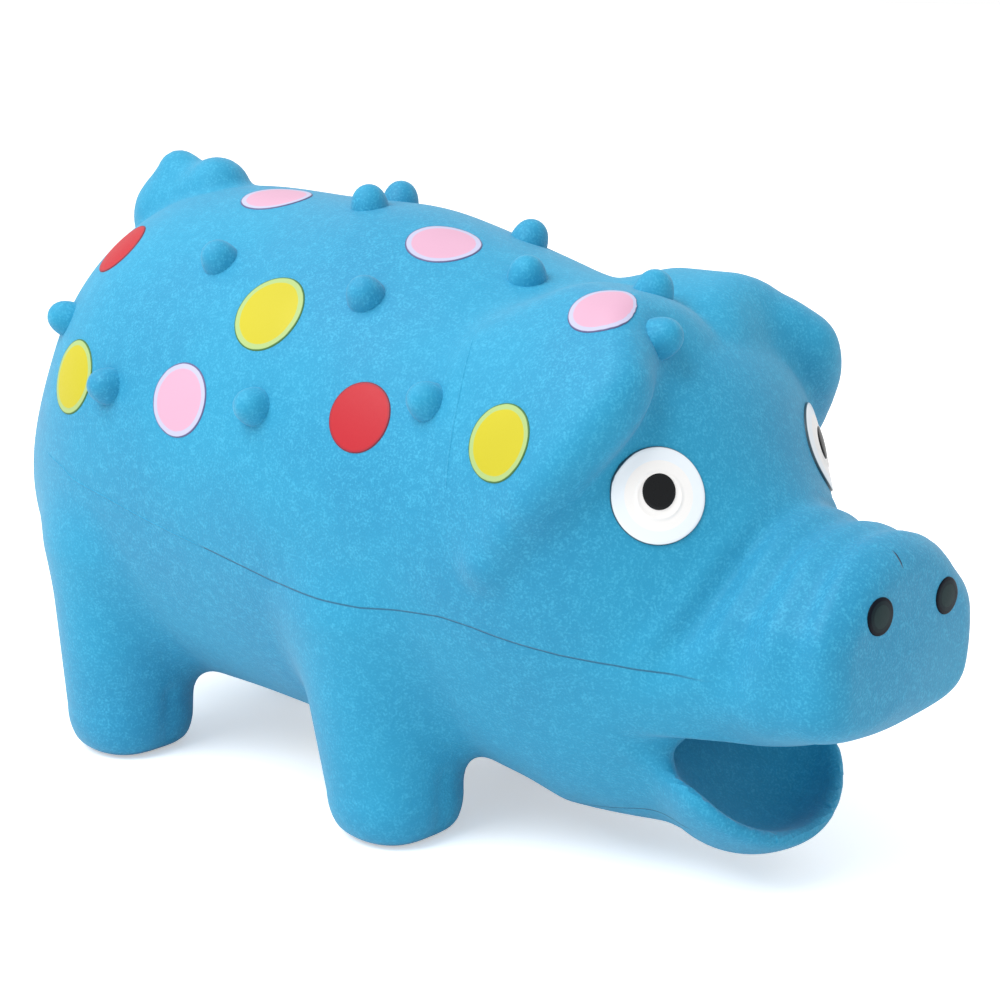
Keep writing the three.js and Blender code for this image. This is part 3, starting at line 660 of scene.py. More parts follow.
class Workshop:
    """Makes, cuts and finishes mesh objects in metres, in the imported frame."""

    def __init__(self, shift: float) -> None:
        """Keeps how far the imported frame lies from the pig's own along x, in millimetres."""
        self.shift = np.array([shift, 0.0, 0.0])

    def placed(self, points: np.ndarray) -> np.ndarray:
        """Points of the pig's frame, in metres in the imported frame."""
        return (points + self.shift) * MM

    def unplaced(self, points: np.ndarray) -> np.ndarray:
        """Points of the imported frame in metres, in millimetres in the pig's frame."""
        return points / MM - self.shift

    def add(
        self, name: str, vertices: np.ndarray, faces: Iterable[Sequence[int]], edges: Sequence = ()
    ) -> bpy.types.Object:
        """Adds a mesh object from points of the pig's frame.

        Args:
            name: Name of the object.
            vertices: Points in millimetres.
            faces: Corner indices of each face.
            edges: Vertex pairs, where there are no faces.

        Returns:
            The object, linked to the scene.
        """
        mesh = bpy.data.meshes.new(name)
        rows = faces.tolist() if isinstance(faces, np.ndarray) else list(faces)
        mesh.from_pydata(self.placed(np.asarray(vertices)).tolist(), list(edges), rows)
        mesh.update()
        return added(name, mesh)

    def points_of(self, piece: bpy.types.Object) -> np.ndarray:
        """Vertices of a piece, in millimetres in the pig's frame.

        Args:
            piece: A mesh object.

        Returns:
            One row for each vertex.
        """
        flat = np.empty(3 * len(piece.data.vertices))
        piece.data.vertices.foreach_get("co", flat)
        return self.unplaced(flat.reshape(-1, 3))

    def move_points(self, piece: bpy.types.Object, points: np.ndarray) -> None:
        """Gives the vertices of a piece new places, in millimetres in the pig's frame."""
        piece.data.vertices.foreach_set("co", self.placed(points).ravel())
        piece.data.update()

    @staticmethod
    def note(piece: bpy.types.Object, name: str, values: np.ndarray) -> None:
        """Stores a number or a vector for each vertex of a piece.

        Args:
            piece: A mesh object.
            name: Name of the attribute.
            values: One row for each vertex.
        """
        kind = "FLOAT_VECTOR" if values.ndim == 2 else "FLOAT"
        attribute = piece.data.attributes.new(name, kind, "POINT")
        attribute.data.foreach_set("vector" if values.ndim == 2 else "value", values.ravel())

    @staticmethod
    def baked(piece: bpy.types.Object) -> None:
        """Turns a piece's modifiers into its own plain mesh.

        Args:
            piece: The object, which keeps its name.
        """
        graph = bpy.context.evaluated_depsgraph_get()
        result = bpy.data.meshes.new_from_object(piece.evaluated_get(graph), depsgraph=graph)
        piece.modifiers.clear()
        piece.data = result
        result.name = piece.name

    def cut(self, body: bpy.types.Object, other: bpy.types.Object, how: Cut) -> None:
        """Joins another closed mesh to a body or cuts it out, and removes the other.

        Args:
            body: The mesh that stays.
            other: The mesh that is used up.
            how: Whether it is added or taken away.
        """
        modifier = body.modifiers.new(how.value.title(), "BOOLEAN")
        modifier.operation = how.value
        modifier.solver = "MANIFOLD"
        modifier.object = other
        self.baked(body)
        bpy.data.objects.remove(other)

    @staticmethod
    def cleaned(piece: bpy.types.Object, least: float) -> None:
        """Takes the slivers that a cut leaves out of a piece, and logs any edge that isn't closed after it.

        Args:
            piece: The cut mesh.
            least: The distance in metres below which vertices are merged.
        """
        mesh = bmesh.new()
        mesh.from_mesh(piece.data)
        bmesh.ops.remove_doubles(mesh, verts=mesh.verts, dist=least)
        open_edges = sum(not edge.is_manifold for edge in mesh.edges)
        mesh.to_mesh(piece.data)
        mesh.free()
        log.info("%s: %d open edges", piece.name, open_edges)

    @staticmethod
    def smoothed(piece: bpy.types.Object) -> None:
        """Shades a piece smooth."""
        piece.data.polygons.foreach_set("use_smooth", [True] * len(piece.data.polygons))

    @staticmethod
    def finished(piece: bpy.types.Object, material: bpy.types.Material, body: str, slot: str, *nodes: str) -> None:
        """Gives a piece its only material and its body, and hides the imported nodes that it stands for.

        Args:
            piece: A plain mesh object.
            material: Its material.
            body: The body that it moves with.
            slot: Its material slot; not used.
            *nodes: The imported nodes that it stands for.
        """
        piece.data.materials.clear()
        piece.data.materials.append(material)
        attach(piece, body)
        if nodes:
            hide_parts(*nodes)
        log.info("%s: %d faces on %s", piece.name, len(piece.data.polygons), body)

    @staticmethod
    def discard(*helpers: bpy.types.Object) -> None:
        """Removes helper objects."""
        for helper in helpers:
            bpy.data.objects.remove(helper)


class NodeSheet:
    """Adds nodes to a shader or geometry tree and wires them by name."""

    def __init__(self, tree: bpy.types.NodeTree) -> None:
        """Works on one tree, from left to right."""
        self.tree = tree
        self.column = 0

    def add(self, kind: str, inputs: dict | None = None, **settings: object) -> bpy.types.Node:
        """Adds a node.

        Args:
            kind: The node's type.
            inputs: For each input, by name or number, a socket to link or a value to set.
            **settings: Properties of the node.

        Returns:
            The new node.
        """
        node = self.tree.nodes.new(kind)
        self.column += 1
        node.location = (180 * self.column, 0)
        for name, value in settings.items():
            setattr(node, name, value)
        for name, value in (inputs or {}).items():
            self.feed(node.inputs[name], value)
        return node

    def feed(self, socket: bpy.types.NodeSocket, value: object) -> None:
        """Links an input to another node's socket, or sets it to a plain value.

        Args:
            socket: The input.
            value: The other socket, or the plain value.
        """
        if isinstance(value, bpy.types.NodeSocket):
            self.tree.links.new(value, socket)
        else:
            socket.default_value = value

    def maths(self, operation: str, *values: object) -> bpy.types.NodeSocket:
        """A number worked out from one, two or three others."""
        return self.add("ShaderNodeMath", dict(enumerate(values)), operation=operation).outputs[0]

    def vectors(self, operation: str, *values: object, scale: object = None) -> bpy.types.NodeSocket:
        """A vector worked out from others, scaled by a number where the operation asks for one.

        Args:
            operation: What is worked out.
            *values: Vectors or sockets.
            scale: The number, or its socket.

        Returns:
            The resulting vector.
        """
        inputs = dict(enumerate(values))
        if scale is not None:
            inputs["Scale"] = scale
        return self.add("ShaderNodeVectorMath", inputs, operation=operation).outputs[0]

    def ramp(
        self, value: bpy.types.NodeSocket, low: float, high: float, start: float = 0.0, end: float = 1.0
    ) -> bpy.types.NodeSocket:
        """A number that goes smoothly from start to end as value goes from low to high."""
        inputs = {"Value": value, "From Min": low, "From Max": high, "To Min": start, "To Max": end}
        return self.add("ShaderNodeMapRange", inputs, interpolation_type="SMOOTHSTEP").outputs[0]

    def mixed(self, share: object, first: object, second: object) -> bpy.types.NodeSocket:
        """A colour that goes from the first to the second as share goes from 0 to 1.

        Args:
            share: A number or a socket.
            first: The colour at 0.
            second: The colour at 1.

        Returns:
            The mixed colour.
        """
        node = self.add("ShaderNodeMix", data_type="RGBA")
        for place, value in ((0, share), (6, first), (7, second)):
            self.feed(node.inputs[place], value)
        return node.outputs[2]


def daylight(red: int, green: int, blue: int) -> tuple[float, float, float, float]:
    """A colour as it shows on a screen, as the linear values that a shader takes.

    Args:
        red: Red from 0 to 255.
        green: Green from 0 to 255.
        blue: Blue from 0 to 255.

    Returns:
        Red, green, blue and a full alpha.
    """
    values = [channel / 255 for channel in (red, green, blue)]
    linear = [value / 12.92 if value <= 0.04045 else ((value + 0.055) / 1.055) ** 2.4 for value in values]
    return (*linear, 1.0)


# Geometry node trees


class LayingTrees:
    """The geometry trees that lay bumps, paint films and seams on the bare skin."""

    FACING = "facing"

    def __init__(self) -> None:
        """Builds each tree once."""
        self.bumps = self.bump_tree()
        self.film = self.film_tree()
        self.seam = self.seam_tree()

    @staticmethod
    def begun(name: str, inputs: dict[str, str]) -> tuple[NodeSheet, dict[str, bpy.types.NodeSocket]]:
        """Starts a tree with named inputs, a geometry in and a geometry out.

        Args:
            name: Name of the tree.
            inputs: The type of each further input, by its name.

        Returns:
            The sheet of the tree, and the sockets of its inputs by name.
        """
        tree = bpy.data.node_groups.new(name, "GeometryNodeTree")
        tree.interface.new_socket("Geometry", in_out="INPUT", socket_type="NodeSocketGeometry")
        tree.interface.new_socket("Geometry", in_out="OUTPUT", socket_type="NodeSocketGeometry")
        for label, kind in inputs.items():
            tree.interface.new_socket(label, in_out="INPUT", socket_type=kind)
        sheet = NodeSheet(tree)
        start = sheet.add("NodeGroupInput")
        return sheet, {label: start.outputs[label] for label in ("Geometry", *inputs)}

    @staticmethod
    def ended(sheet: NodeSheet, geometry: bpy.types.NodeSocket, material: bpy.types.NodeSocket) -> bpy.types.NodeTree:
        """Ends a tree with real geometry in its material.

        Args:
            sheet: The sheet of the tree.
            geometry: What the tree has made.
            material: Its material.

        Returns:
            The finished tree.
        """
        real = sheet.add("GeometryNodeRealizeInstances", {"Geometry": geometry})
        dressed = sheet.add("GeometryNodeSetMaterial", {"Geometry": real.outputs[0], "Material": material})
        sheet.add("NodeGroupOutput", {"Geometry": dressed.outputs[0]})
        return sheet.tree

    def nearest(
        self, sheet: NodeSheet, skin: bpy.types.NodeSocket, at: bpy.types.NodeSocket | None = None
    ) -> tuple[bpy.types.NodeSocket, bpy.types.NodeSocket]:
        """The place on the skin nearest to a point, and the way that the skin faces there.

        Args:
            sheet: The sheet that the nodes go on.
            skin: The skin, as an object.
            at: The point, where it isn't the vertex itself.

        Returns:
            The place, and the way that the skin faces there as a unit vector.
        """
        surface = sheet.add("GeometryNodeObjectInfo", {"Object": skin}).outputs["Geometry"]
        here = sheet.add("GeometryNodeInputPosition").outputs[0]
        named = sheet.add("GeometryNodeInputNamedAttribute", {"Name": self.FACING}, data_type="FLOAT_VECTOR")
        where = {} if at is None else {"Sample Position": at}
        found = []
        for value in (here, named.outputs[0]):
            inputs = {"Mesh": surface, "Value": value, **where}
            sample = sheet.add("GeometryNodeSampleNearestSurface", inputs, data_type="FLOAT_VECTOR")
            found.append(sample.outputs[0])
        return found[0], sheet.vectors("NORMALIZE", found[1])

    def bump_tree(self) -> bpy.types.NodeTree:
        """Stands one bump on the skin at each point, square to the skin.

        Returns:
            The tree, which starts from one vertex for each bump.
        """
        sheet, given = self.begun(
            "moulded bumps",
            {"Skin": "NodeSocketObject", "Bump": "NodeSocketObject", "Material": "NodeSocketMaterial"},
        )
        place, facing = self.nearest(sheet, given["Skin"])
        points = sheet.add("GeometryNodeMeshToPoints", {"Mesh": given["Geometry"]})
        seated = sheet.add("GeometryNodeSetPosition", {"Geometry": points.outputs[0], "Position": place})
        bump = sheet.add("GeometryNodeObjectInfo", {"Object": given["Bump"]}).outputs["Geometry"]
        turn = sheet.add("FunctionNodeAlignRotationToVector", {"Vector": facing}, axis="Z")
        inputs = {"Points": seated.outputs[0], "Instance": bump, "Rotation": turn.outputs[0]}
        standing = sheet.add("GeometryNodeInstanceOnPoints", inputs)
        return self.ended(sheet, standing.outputs[0], given["Material"])

    def film_tree(self) -> bpy.types.NodeTree:
        """Lays a flat film on the skin, its own height kept above the skin.

        Returns:
            The tree, which starts from a flat film about the origin.
        """
        sheet, given = self.begun(
            "paint film",
            {
                "Skin": "NodeSocketObject",
                "Place": "NodeSocketVector",
                "Across": "NodeSocketVector",
                "Along": "NodeSocketVector",
                "Material": "NodeSocketMaterial",
            },
        )
        position = sheet.add("GeometryNodeInputPosition").outputs[0]
        parts = sheet.add("ShaderNodeSeparateXYZ", {0: position}).outputs
        across = sheet.vectors("SCALE", given["Across"], scale=parts["X"])
        along = sheet.vectors("SCALE", given["Along"], scale=parts["Y"])
        target = sheet.vectors("ADD", given["Place"], sheet.vectors("ADD", across, along))
        place, facing = self.nearest(sheet, given["Skin"], target)
        lifted = sheet.vectors("ADD", place, sheet.vectors("SCALE", facing, scale=parts["Z"]))
        laid = sheet.add("GeometryNodeSetPosition", {"Geometry": given["Geometry"], "Position": lifted})
        return self.ended(sheet, laid.outputs[0], given["Material"])

    def seam_tree(self) -> bpy.types.NodeTree:
        """Runs a thin raised seam along the skin, thinner towards both ends.

        Returns:
            The tree, which starts from the edges of the seam's route.
        """
        sheet, given = self.begun(
            "parting seam",
            {
                "Skin": "NodeSocketObject",
                "Radius": "NodeSocketFloat",
                "Spacing": "NodeSocketFloat",
                "Sink": "NodeSocketFloat",
                "Material": "NodeSocketMaterial",
            },
        )
        curve = sheet.add("GeometryNodeMeshToCurve", {"Mesh": given["Geometry"]})
        soft = sheet.add("GeometryNodeCurveSplineType", {"Curve": curve.outputs[0]}, spline_type="CATMULL_ROM")
        inputs = {"Curve": soft.outputs[0], "Length": given["Spacing"]}
        even = sheet.add("GeometryNodeResampleCurve", inputs, mode="LENGTH")
        place, facing = self.nearest(sheet, given["Skin"])
        sunk = sheet.vectors("SUBTRACT", place, sheet.vectors("SCALE", facing, scale=given["Sink"]))
        laid = sheet.add("GeometryNodeSetPosition", {"Geometry": even.outputs[0], "Position": sunk})
        factor = sheet.add("GeometryNodeSplineParameter").outputs["Factor"]
        ends = sheet.maths("SUBTRACT", 0.5, sheet.maths("ABSOLUTE", sheet.maths("SUBTRACT", factor, 0.5)))
        taper = sheet.ramp(ends, 0.0, 0.12, 0.25, 1.0)
        profile = sheet.add("GeometryNodeCurvePrimitiveCircle", {"Resolution": 8, "Radius": given["Radius"]})
        inputs = {"Curve": laid.outputs[0], "Profile Curve": profile.outputs[0], "Scale": taper, "Fill Caps": True}
        tube = sheet.add("GeometryNodeCurveToMesh", inputs)
        return self.ended(sheet, tube.outputs[0], given["Material"])

    @staticmethod
    def grown(piece: bpy.types.Object, tree: bpy.types.NodeTree, values: dict[str, object]) -> None:
        """Runs a tree on a piece and keeps the result as its plain mesh.

        Args:
            piece: The object that the tree starts from.
            tree: The geometry tree.
            values: What each named input is set to.
        """
        modifier = piece.modifiers.new(tree.name, "NODES")
        modifier.node_group = tree
        sockets = {item.name: item.identifier for item in tree.interface.items_tree if item.in_out == "INPUT"}
        for name, value in values.items():
            modifier[sockets[name]] = value
        Workshop.baked(piece)


# Finishes


class SurfaceEffects:
    """Shader node groups that more than one finish uses."""

    def __init__(self) -> None:
        """Builds each group once."""
        self.grain = self.grain_group()
        self.bands = self.band_group()

    @staticmethod
    def begun(
        name: str, inputs: dict[str, tuple[str, object]], outputs: dict[str, str]
    ) -> tuple[NodeSheet, bpy.types.Node]:
        """Starts a group.

        Args:
            name: Name of the group.
            inputs: The type and the usual value of each input, by its name.
            outputs: The type of each output, by its name.

        Returns:
            The sheet of the group and its input node.
        """
        tree = bpy.data.node_groups.new(name, "ShaderNodeTree")
        for label, (kind, value) in inputs.items():
            tree.interface.new_socket(label, in_out="INPUT", socket_type=kind).default_value = value
        for label, kind in outputs.items():
            tree.interface.new_socket(label, in_out="OUTPUT", socket_type=kind)
        sheet = NodeSheet(tree)
        return sheet, sheet.add("NodeGroupInput")

    def grain_group(self) -> bpy.types.NodeTree:
        """Fine grain of dipped latex: pale specks, soft clouds and a height.

        Returns:
            The group, whose size is in millimetres.
        """
        sheet, given = self.begun(
            "latex grain",
            {"Size": ("NodeSocketFloat", 0.5), "Speck Share": ("NodeSocketFloat", 0.6)},
            {"Specks": "NodeSocketFloat", "Clouds": "NodeSocketFloat", "Height": "NodeSocketFloat"},
        )
        here = sheet.add("ShaderNodeTexCoord").outputs["Object"]
        frequency = sheet.maths("DIVIDE", 1000.0, given.outputs["Size"])
        fine = sheet.add("ShaderNodeTexNoise", {"Vector": here, "Scale": frequency, "Detail": 3.0, "Roughness": 0.6})
        wide_scale = sheet.maths("MULTIPLY", frequency, 0.22)
        wide = sheet.add("ShaderNodeTexNoise", {"Vector": here, "Scale": wide_scale, "Detail": 2.0})
        cloud = sheet.add("ShaderNodeTexNoise", {"Vector": here, "Scale": 26.0, "Detail": 3.0})
        raised = sheet.maths("ADD", fine.outputs[0], sheet.maths("MULTIPLY", wide.outputs[0], 0.35))
        threshold = sheet.maths("SUBTRACT", 0.9, sheet.maths("MULTIPLY", given.outputs["Speck Share"], 0.3))
        over = sheet.maths("SUBTRACT", raised, threshold)
        outputs = {
            "Specks": sheet.ramp(over, 0.0, 0.3),
            "Clouds": sheet.ramp(cloud.outputs[0], 0.3, 0.7),
            "Height": raised,
        }
        sheet.add("NodeGroupOutput", outputs)
        return sheet.tree

    def band_group(self) -> bpy.types.NodeTree:
        """Three bands of a round paint spot by its reach, with an edge that wavers a little.

        Returns:
            The group, which gives a mask for the rim and one for the outline.
        """
        sheet, given = self.begun(
            "paint bands",
            {
                "Reach": ("NodeSocketFloat", 0.0),
                "Rim": ("NodeSocketFloat", 0.83),
                "Outline": ("NodeSocketFloat", 0.95),
                "Softness": ("NodeSocketFloat", 0.02),
                "Waver": ("NodeSocketFloat", 0.05),
            },
            {"Rim Mask": "NodeSocketFloat", "Outline Mask": "NodeSocketFloat"},
        )
        here = sheet.add("ShaderNodeTexCoord").outputs["Object"]
        noise = sheet.add("ShaderNodeTexNoise", {"Vector": here, "Scale": 420.0, "Detail": 2.0}).outputs[0]
        waver = sheet.maths("MULTIPLY", sheet.maths("SUBTRACT", noise, 0.5), given.outputs["Waver"])
        reach = sheet.maths("ADD", given.outputs["Reach"], waver)
        outputs = {}
        for band in ("Rim", "Outline"):
            high = sheet.maths("ADD", given.outputs[band], given.outputs["Softness"])
            outputs[f"{band} Mask"] = sheet.ramp(reach, given.outputs[band], high)
        sheet.add("NodeGroupOutput", outputs)
        return sheet.tree


class Finish:
    """A procedural material under one name."""

    name: str

    def begun(self) -> tuple[NodeSheet, bpy.types.Node, bpy.types.Material]:
        """Starts the material with its shader and its output.

        Returns:
            The sheet, the shader and the material.
        """
        material = bpy.data.materials.new(self.name)
        material.use_nodes = True
        material.node_tree.nodes.clear()
        sheet = NodeSheet(material.node_tree)
        shader = sheet.add("ShaderNodeBsdfPrincipled")
        sheet.add("ShaderNodeOutputMaterial", {"Surface": shader.outputs[0]})
        return sheet, shader, material

    @staticmethod
    def dress(sheet: NodeSheet, shader: bpy.types.Node, values: dict[str, object]) -> None:
        """Gives the shader's inputs their varying or plain values."""
        for name, value in values.items():
            sheet.feed(shader.inputs[name], value)

    @staticmethod
    def bumped(
        sheet: NodeSheet,
        height: bpy.types.NodeSocket,
        strength: float,
        distance: float,
        under: bpy.types.NodeSocket | None = None,
    ) -> bpy.types.NodeSocket:
        """A normal that follows a height.

        Args:
            sheet: The material's sheet.
            height: The height, as a share of the distance.
            strength: How much of it shows.
            distance: What a height of 1 stands for, in millimetres.
            under: The normal that it lies on, where there is one.

        Returns:
            The normal.
        """
        inputs = {"Height": height, "Strength": strength, "Distance": distance * MM}
        if under is not None:
            inputs["Normal"] = under
        return sheet.add("ShaderNodeBump", inputs).outputs[0]


@dataclass(frozen=True)
class LatexFinish(Finish):
    """Matte dipped latex with a fine pale grain, and painted shade along its fine mould lines."""

    name: str = "blue latex"
    body: tuple = daylight(27, 142, 181)
    deep: tuple = daylight(20, 131, 172)
    speck: tuple = daylight(66, 174, 210)
    speck_share: float = 0.95
    speck_weight: float = 0.5
    grain: float = 0.42
    roughness: float = 0.62
    # painted shade: this dark blue stands in for the shadow in the thin grooves of the fine mould lines
    line: tuple = daylight(16, 66, 98)
    line_width: float = 0.24
    line_shade_weight: float = 2.4

    def material(self, effects: SurfaceEffects) -> bpy.types.Material:
        """Builds the material.

        Args:
            effects: The shared groups.

        Returns:
            The material.
        """
        sheet, shader, material = self.begun()
        inputs = {"Size": self.grain, "Speck Share": self.speck_share}
        grain = sheet.add("ShaderNodeGroup", inputs, node_tree=effects.grain)
        base = sheet.mixed(grain.outputs["Clouds"], self.deep, self.body)
        speck = sheet.maths("MULTIPLY", grain.outputs["Specks"], self.speck_weight)
        colour = sheet.mixed(speck, base, self.speck)
        rough = sheet.ramp(grain.outputs["Clouds"], 0.0, 1.0, self.roughness - 0.04, self.roughness + 0.05)
        beside = sheet.add("ShaderNodeAttribute", attribute_name=LatexSkin.LINE).outputs["Vector"]
        parts = sheet.add("ShaderNodeSeparateXYZ", {0: beside}).outputs
        near = sheet.ramp(sheet.maths("ABSOLUTE", parts["X"]), 0.0, self.line_width, 1.0, 0.0)
        mark = sheet.maths("MULTIPLY", near, parts["Y"])
        # painted shade along the fine lines, laid over the grain colour; the same mark also gives the grooves a bump
        lined = sheet.mixed(sheet.maths("MULTIPLY", mark, self.line_shade_weight), colour, self.line)
        grained = self.bumped(sheet, grain.outputs["Height"], 0.5, 0.2)
        normal = self.bumped(sheet, sheet.maths("MULTIPLY", mark, -1.0), 1.0, 0.5, grained)
        self.dress(sheet, shader, {"Base Color": lined, "Roughness": rough, "Normal": normal})
        self.dress(sheet, shader, {"Specular IOR Level": 0.35, "Sheen Weight": 0.12, "Sheen Roughness": 0.5})
        return material


@dataclass(frozen=True)
class PaintFinish(Finish):
    """Flexible paint in up to three bands: its middle, a paler rim and a thin outline."""

    name: str
    middle: tuple
    rim: tuple
    outline: tuple
    rim_from: float = 0.82
    outline_from: float = 0.95
    waver: float = 0.03
    grain: float = 0.5
    roughness: float = 0.5
    specular: float = 0.4
    gloss: float = 0.0
    gloss_roughness: float = 0.12

    def material(self, effects: SurfaceEffects) -> bpy.types.Material:
        """Builds the material.

        Args:
            effects: The shared groups.

        Returns:
            The material.
        """
        sheet, shader, material = self.begun()
        reach = sheet.add("ShaderNodeAttribute", attribute_name="reach").outputs["Fac"]
        inputs = {"Reach": reach, "Rim": self.rim_from, "Outline": self.outline_from, "Waver": self.waver}
        bands = sheet.add("ShaderNodeGroup", inputs, node_tree=effects.bands)
        grain = sheet.add("ShaderNodeGroup", {"Size": self.grain}, node_tree=effects.grain)
        rimmed = sheet.mixed(bands.outputs["Rim Mask"], self.middle, self.rim)
        lined = sheet.mixed(bands.outputs["Outline Mask"], rimmed, self.outline)
        shade = sheet.ramp(grain.outputs["Clouds"], 0.0, 1.0, 0.96, 1.03)
        tone = sheet.add("ShaderNodeHueSaturation", {"Value": shade, "Color": lined}).outputs[0]
        rough = sheet.ramp(grain.outputs["Height"], 0.4, 1.1, self.roughness - 0.04, self.roughness + 0.06)
        normal = self.bumped(sheet, grain.outputs["Height"], 0.18, 0.08)
        self.dress(sheet, shader, {"Base Color": tone, "Roughness": rough, "Normal": normal})
        plain = {"Specular IOR Level": self.specular, "Coat Weight": self.gloss, "Coat Roughness": self.gloss_roughness}
        self.dress(sheet, shader, plain)
        return material


@dataclass(frozen=True)
class PlainFinish(Finish):
    """A moulded or fibrous material in one colour with a fine texture."""

    name: str
    light: tuple
    dark: tuple
    roughness: float
    texture: float
    depth: float
    stretch: float = 1.0

    def material(self) -> bpy.types.Material:
        """Builds the material.

        Returns:
            The material.
        """
        sheet, shader, material = self.begun()
        here = sheet.add("ShaderNodeTexCoord").outputs["Object"]
        drawn = sheet.add("ShaderNodeMapping", {"Vector": here, "Scale": (1.0, 1.0, self.stretch)}).outputs[0]
        inputs = {"Vector": drawn, "Scale": 1000 / self.texture, "Detail": 4.0}
        noise = sheet.add("ShaderNodeTexNoise", inputs).outputs[0]
        colour = sheet.mixed(sheet.ramp(noise, 0.3, 0.7), self.dark, self.light)
        rough = sheet.ramp(noise, 0.2, 0.8, self.roughness - 0.06, self.roughness + 0.06)
        normal = self.bumped(sheet, noise, 0.4, self.depth)
        self.dress(sheet, shader, {"Base Color": colour, "Roughness": rough, "Normal": normal})
        return material


# Sub-assemblies


@dataclass
class LatexSkin:
    """The moulded skin with its bumps, its belly port and the seams of its mould."""

    LINE: ClassVar[str] = "line"

    shape: PigShape
    workshop: Workshop
    step: float = 1.12
    hollow_step: float = 3.5
    port_x: float = -23.0
    port_radius: float = 11.0
    port_middle: float = 30.0
    port_reach: float = 50.0
    port_sides: int = 64
    spine_bumps: tuple[Triple, ...] = (
        (-14, -4.5, 109), (-18, 8, 108), (27, -8, 100), (12.5, 9.5, 103),
        (60.5, -15.5, 93.5), (52, -5, 99), (5, -25, 96), (5, 33, 88),
    )
    flank_bumps: tuple[Triple, ...] = (
        (-71.5, 27.8, 84), (-48.3, 39.3, 75.8), (-32, 25, 99), (-9, 39, 77), (27, 34, 82),
    )
    bump_profile: tuple[tuple[float, float], ...] = (
        (3.65, -0.9), (3.5, 0.2), (3.3, 1.1), (3.02, 1.9), (2.65, 2.6),
        (2.15, 3.2), (1.55, 3.65), (0.95, 3.9), (0.45, 4.02), (0.0, 4.05),
    )
    bump_sides: int = 28
    bump_root: float = 0.6
    crease: float = math.radians(38)
    sliver: float = 0.12
    flank_seam: tuple[Triple, ...] = (
        (-72, -34.5, 60.3), (-62.9, -39.6, 58.7), (-57.3, -40.7, 56.8),
        (-46.4, -41.4, 54.8), (-35.3, -41.4, 52.4), (-18.1, -41.1, 49.4),
    )
    ear_seam: tuple[Triple, ...] = (
        (30.5, -24.8, 92.8), (32, -28.4, 90.4), (33.4, -32.5, 86.1),
        (34.5, -35.7, 80.8), (35.2, -38, 75.4), (36.1, -40.1, 67.5),
    )
    lines: tuple[FineLine, ...] = (
        FineLine((
            (-35.3, -41.4, 52.4), (-18.1, -41.1, 49.4), (-4.4, -40.7, 46.8), (9.6, -42.2, 46.1), (17.9, -40.9, 45.9),
            (25.6, -39.2, 46.5), (34, -38.4, 46.9), (39.9, -37.5, 46.1), (48.7, -35.1, 44.2), (54.9, -32.3, 43.1),
            (61, -29.4, 42.5), (70.3, -25.6, 41.8), (79.5, -23.2, 41.8),
        ), 0.3),
        FineLine(((41.7, -13.3, 9.3), (56, -15.5, 9.8), (70.9, -17.3, 12)), 0.35),
        FineLine(((98.9, -2.7, 62), (99.5, -2.7, 61.3), (100.2, -2.7, 60.1)), 0.9, twin=False, fade=0.3),
    )
    seam_radius: float = 0.24
    seam_spacing: float = 0.8
    seam_sink: float = 0.12
    far_aside: float = 9.0
    near_margin: float = 2.0
    bare: bpy.types.Object = field(init=False)

    def build_bare(self) -> None:
        """Makes the skin without its bumps, on which everything else is laid."""
        vertices, faces = Mesher(self.step).mesh(self.shape.outside)
        self.bare = self.workshop.add("bare_skin", vertices, faces)
        facing = slope_of(self.shape.outside, vertices)
        self.workshop.note(self.bare, LayingTrees.FACING, facing / length_of(facing)[:, None])

    def bump_form(self) -> bpy.types.Object:
        """One bump about the upright axis at the origin, closed below.

        Returns:
            The bump as a helper object.
        """
        rings = [(r, h) for r, h in self.bump_profile if r > 0]
        top = self.bump_profile[-1][1]
        vertices = []
        for radius, height in rings:
            for side in range(self.bump_sides):
                angle = 2 * math.pi * side / self.bump_sides
                vertices.append((radius * math.cos(angle), radius * math.sin(angle), height))
        vertices += [(0.0, 0.0, top), (0.0, 0.0, rings[0][1] - self.bump_root)]
        crown, root = len(vertices) - 2, len(vertices) - 1
        faces = []
        for side in range(self.bump_sides):
            after = (side + 1) % self.bump_sides
            for ring in range(len(rings) - 1):
                low, high = ring * self.bump_sides, (ring + 1) * self.bump_sides
                faces.append((low + side, low + after, high + after, high + side))
            last = (len(rings) - 1) * self.bump_sides
            faces.append((last + side, last + after, crown))
            faces.append((after, side, root))
        points = np.array(vertices) - self.workshop.shift
        return self.workshop.add("bump_form", points, faces)

    def bumps(self, trees: LayingTrees, latex: bpy.types.Material) -> bpy.types.Object:
        """All bumps, standing on the bare skin.

        Args:
            trees: The trees that lay things on the skin.
            latex: Their material.

        Returns:
            The bumps as one helper object.
        """
        places = list(self.spine_bumps)
        for side in Side:
            places += [(x, side.value * y, z) for x, y, z in self.flank_bumps]
        made = self.workshop.add("bumps", np.array(places, float), [])
        form = self.bump_form()
        trees.grown(made, trees.bumps, {"Skin": self.bare, "Bump": form, "Material": latex})
        self.workshop.discard(form)
        return made

    def inside(self) -> bpy.types.Object:
        """The hollow inside the wall, as a closed body.

        Returns:
            The body as a helper object.
        """
        vertices, faces = Mesher(self.hollow_step).mesh(self.shape.hollow)
        return self.workshop.add("hollow", vertices, faces)

    def port(self) -> bpy.types.Object:
        """The round hole in the belly, as a closed body.

        Returns:
            The body as a helper object.
        """
        mesh = bmesh.new()
        round_both = {"radius1": self.port_radius, "radius2": self.port_radius}
        bmesh.ops.create_cone(mesh, cap_ends=True, segments=self.port_sides, depth=self.port_reach, **round_both)
        bmesh.ops.translate(mesh, verts=mesh.verts, vec=(self.port_x, 0, self.port_middle))
        vertices = np.array([vertex.co for vertex in mesh.verts])
        faces = [[vertex.index for vertex in face.verts] for face in mesh.faces]
        mesh.free()
        return self.workshop.add("port", vertices, faces)

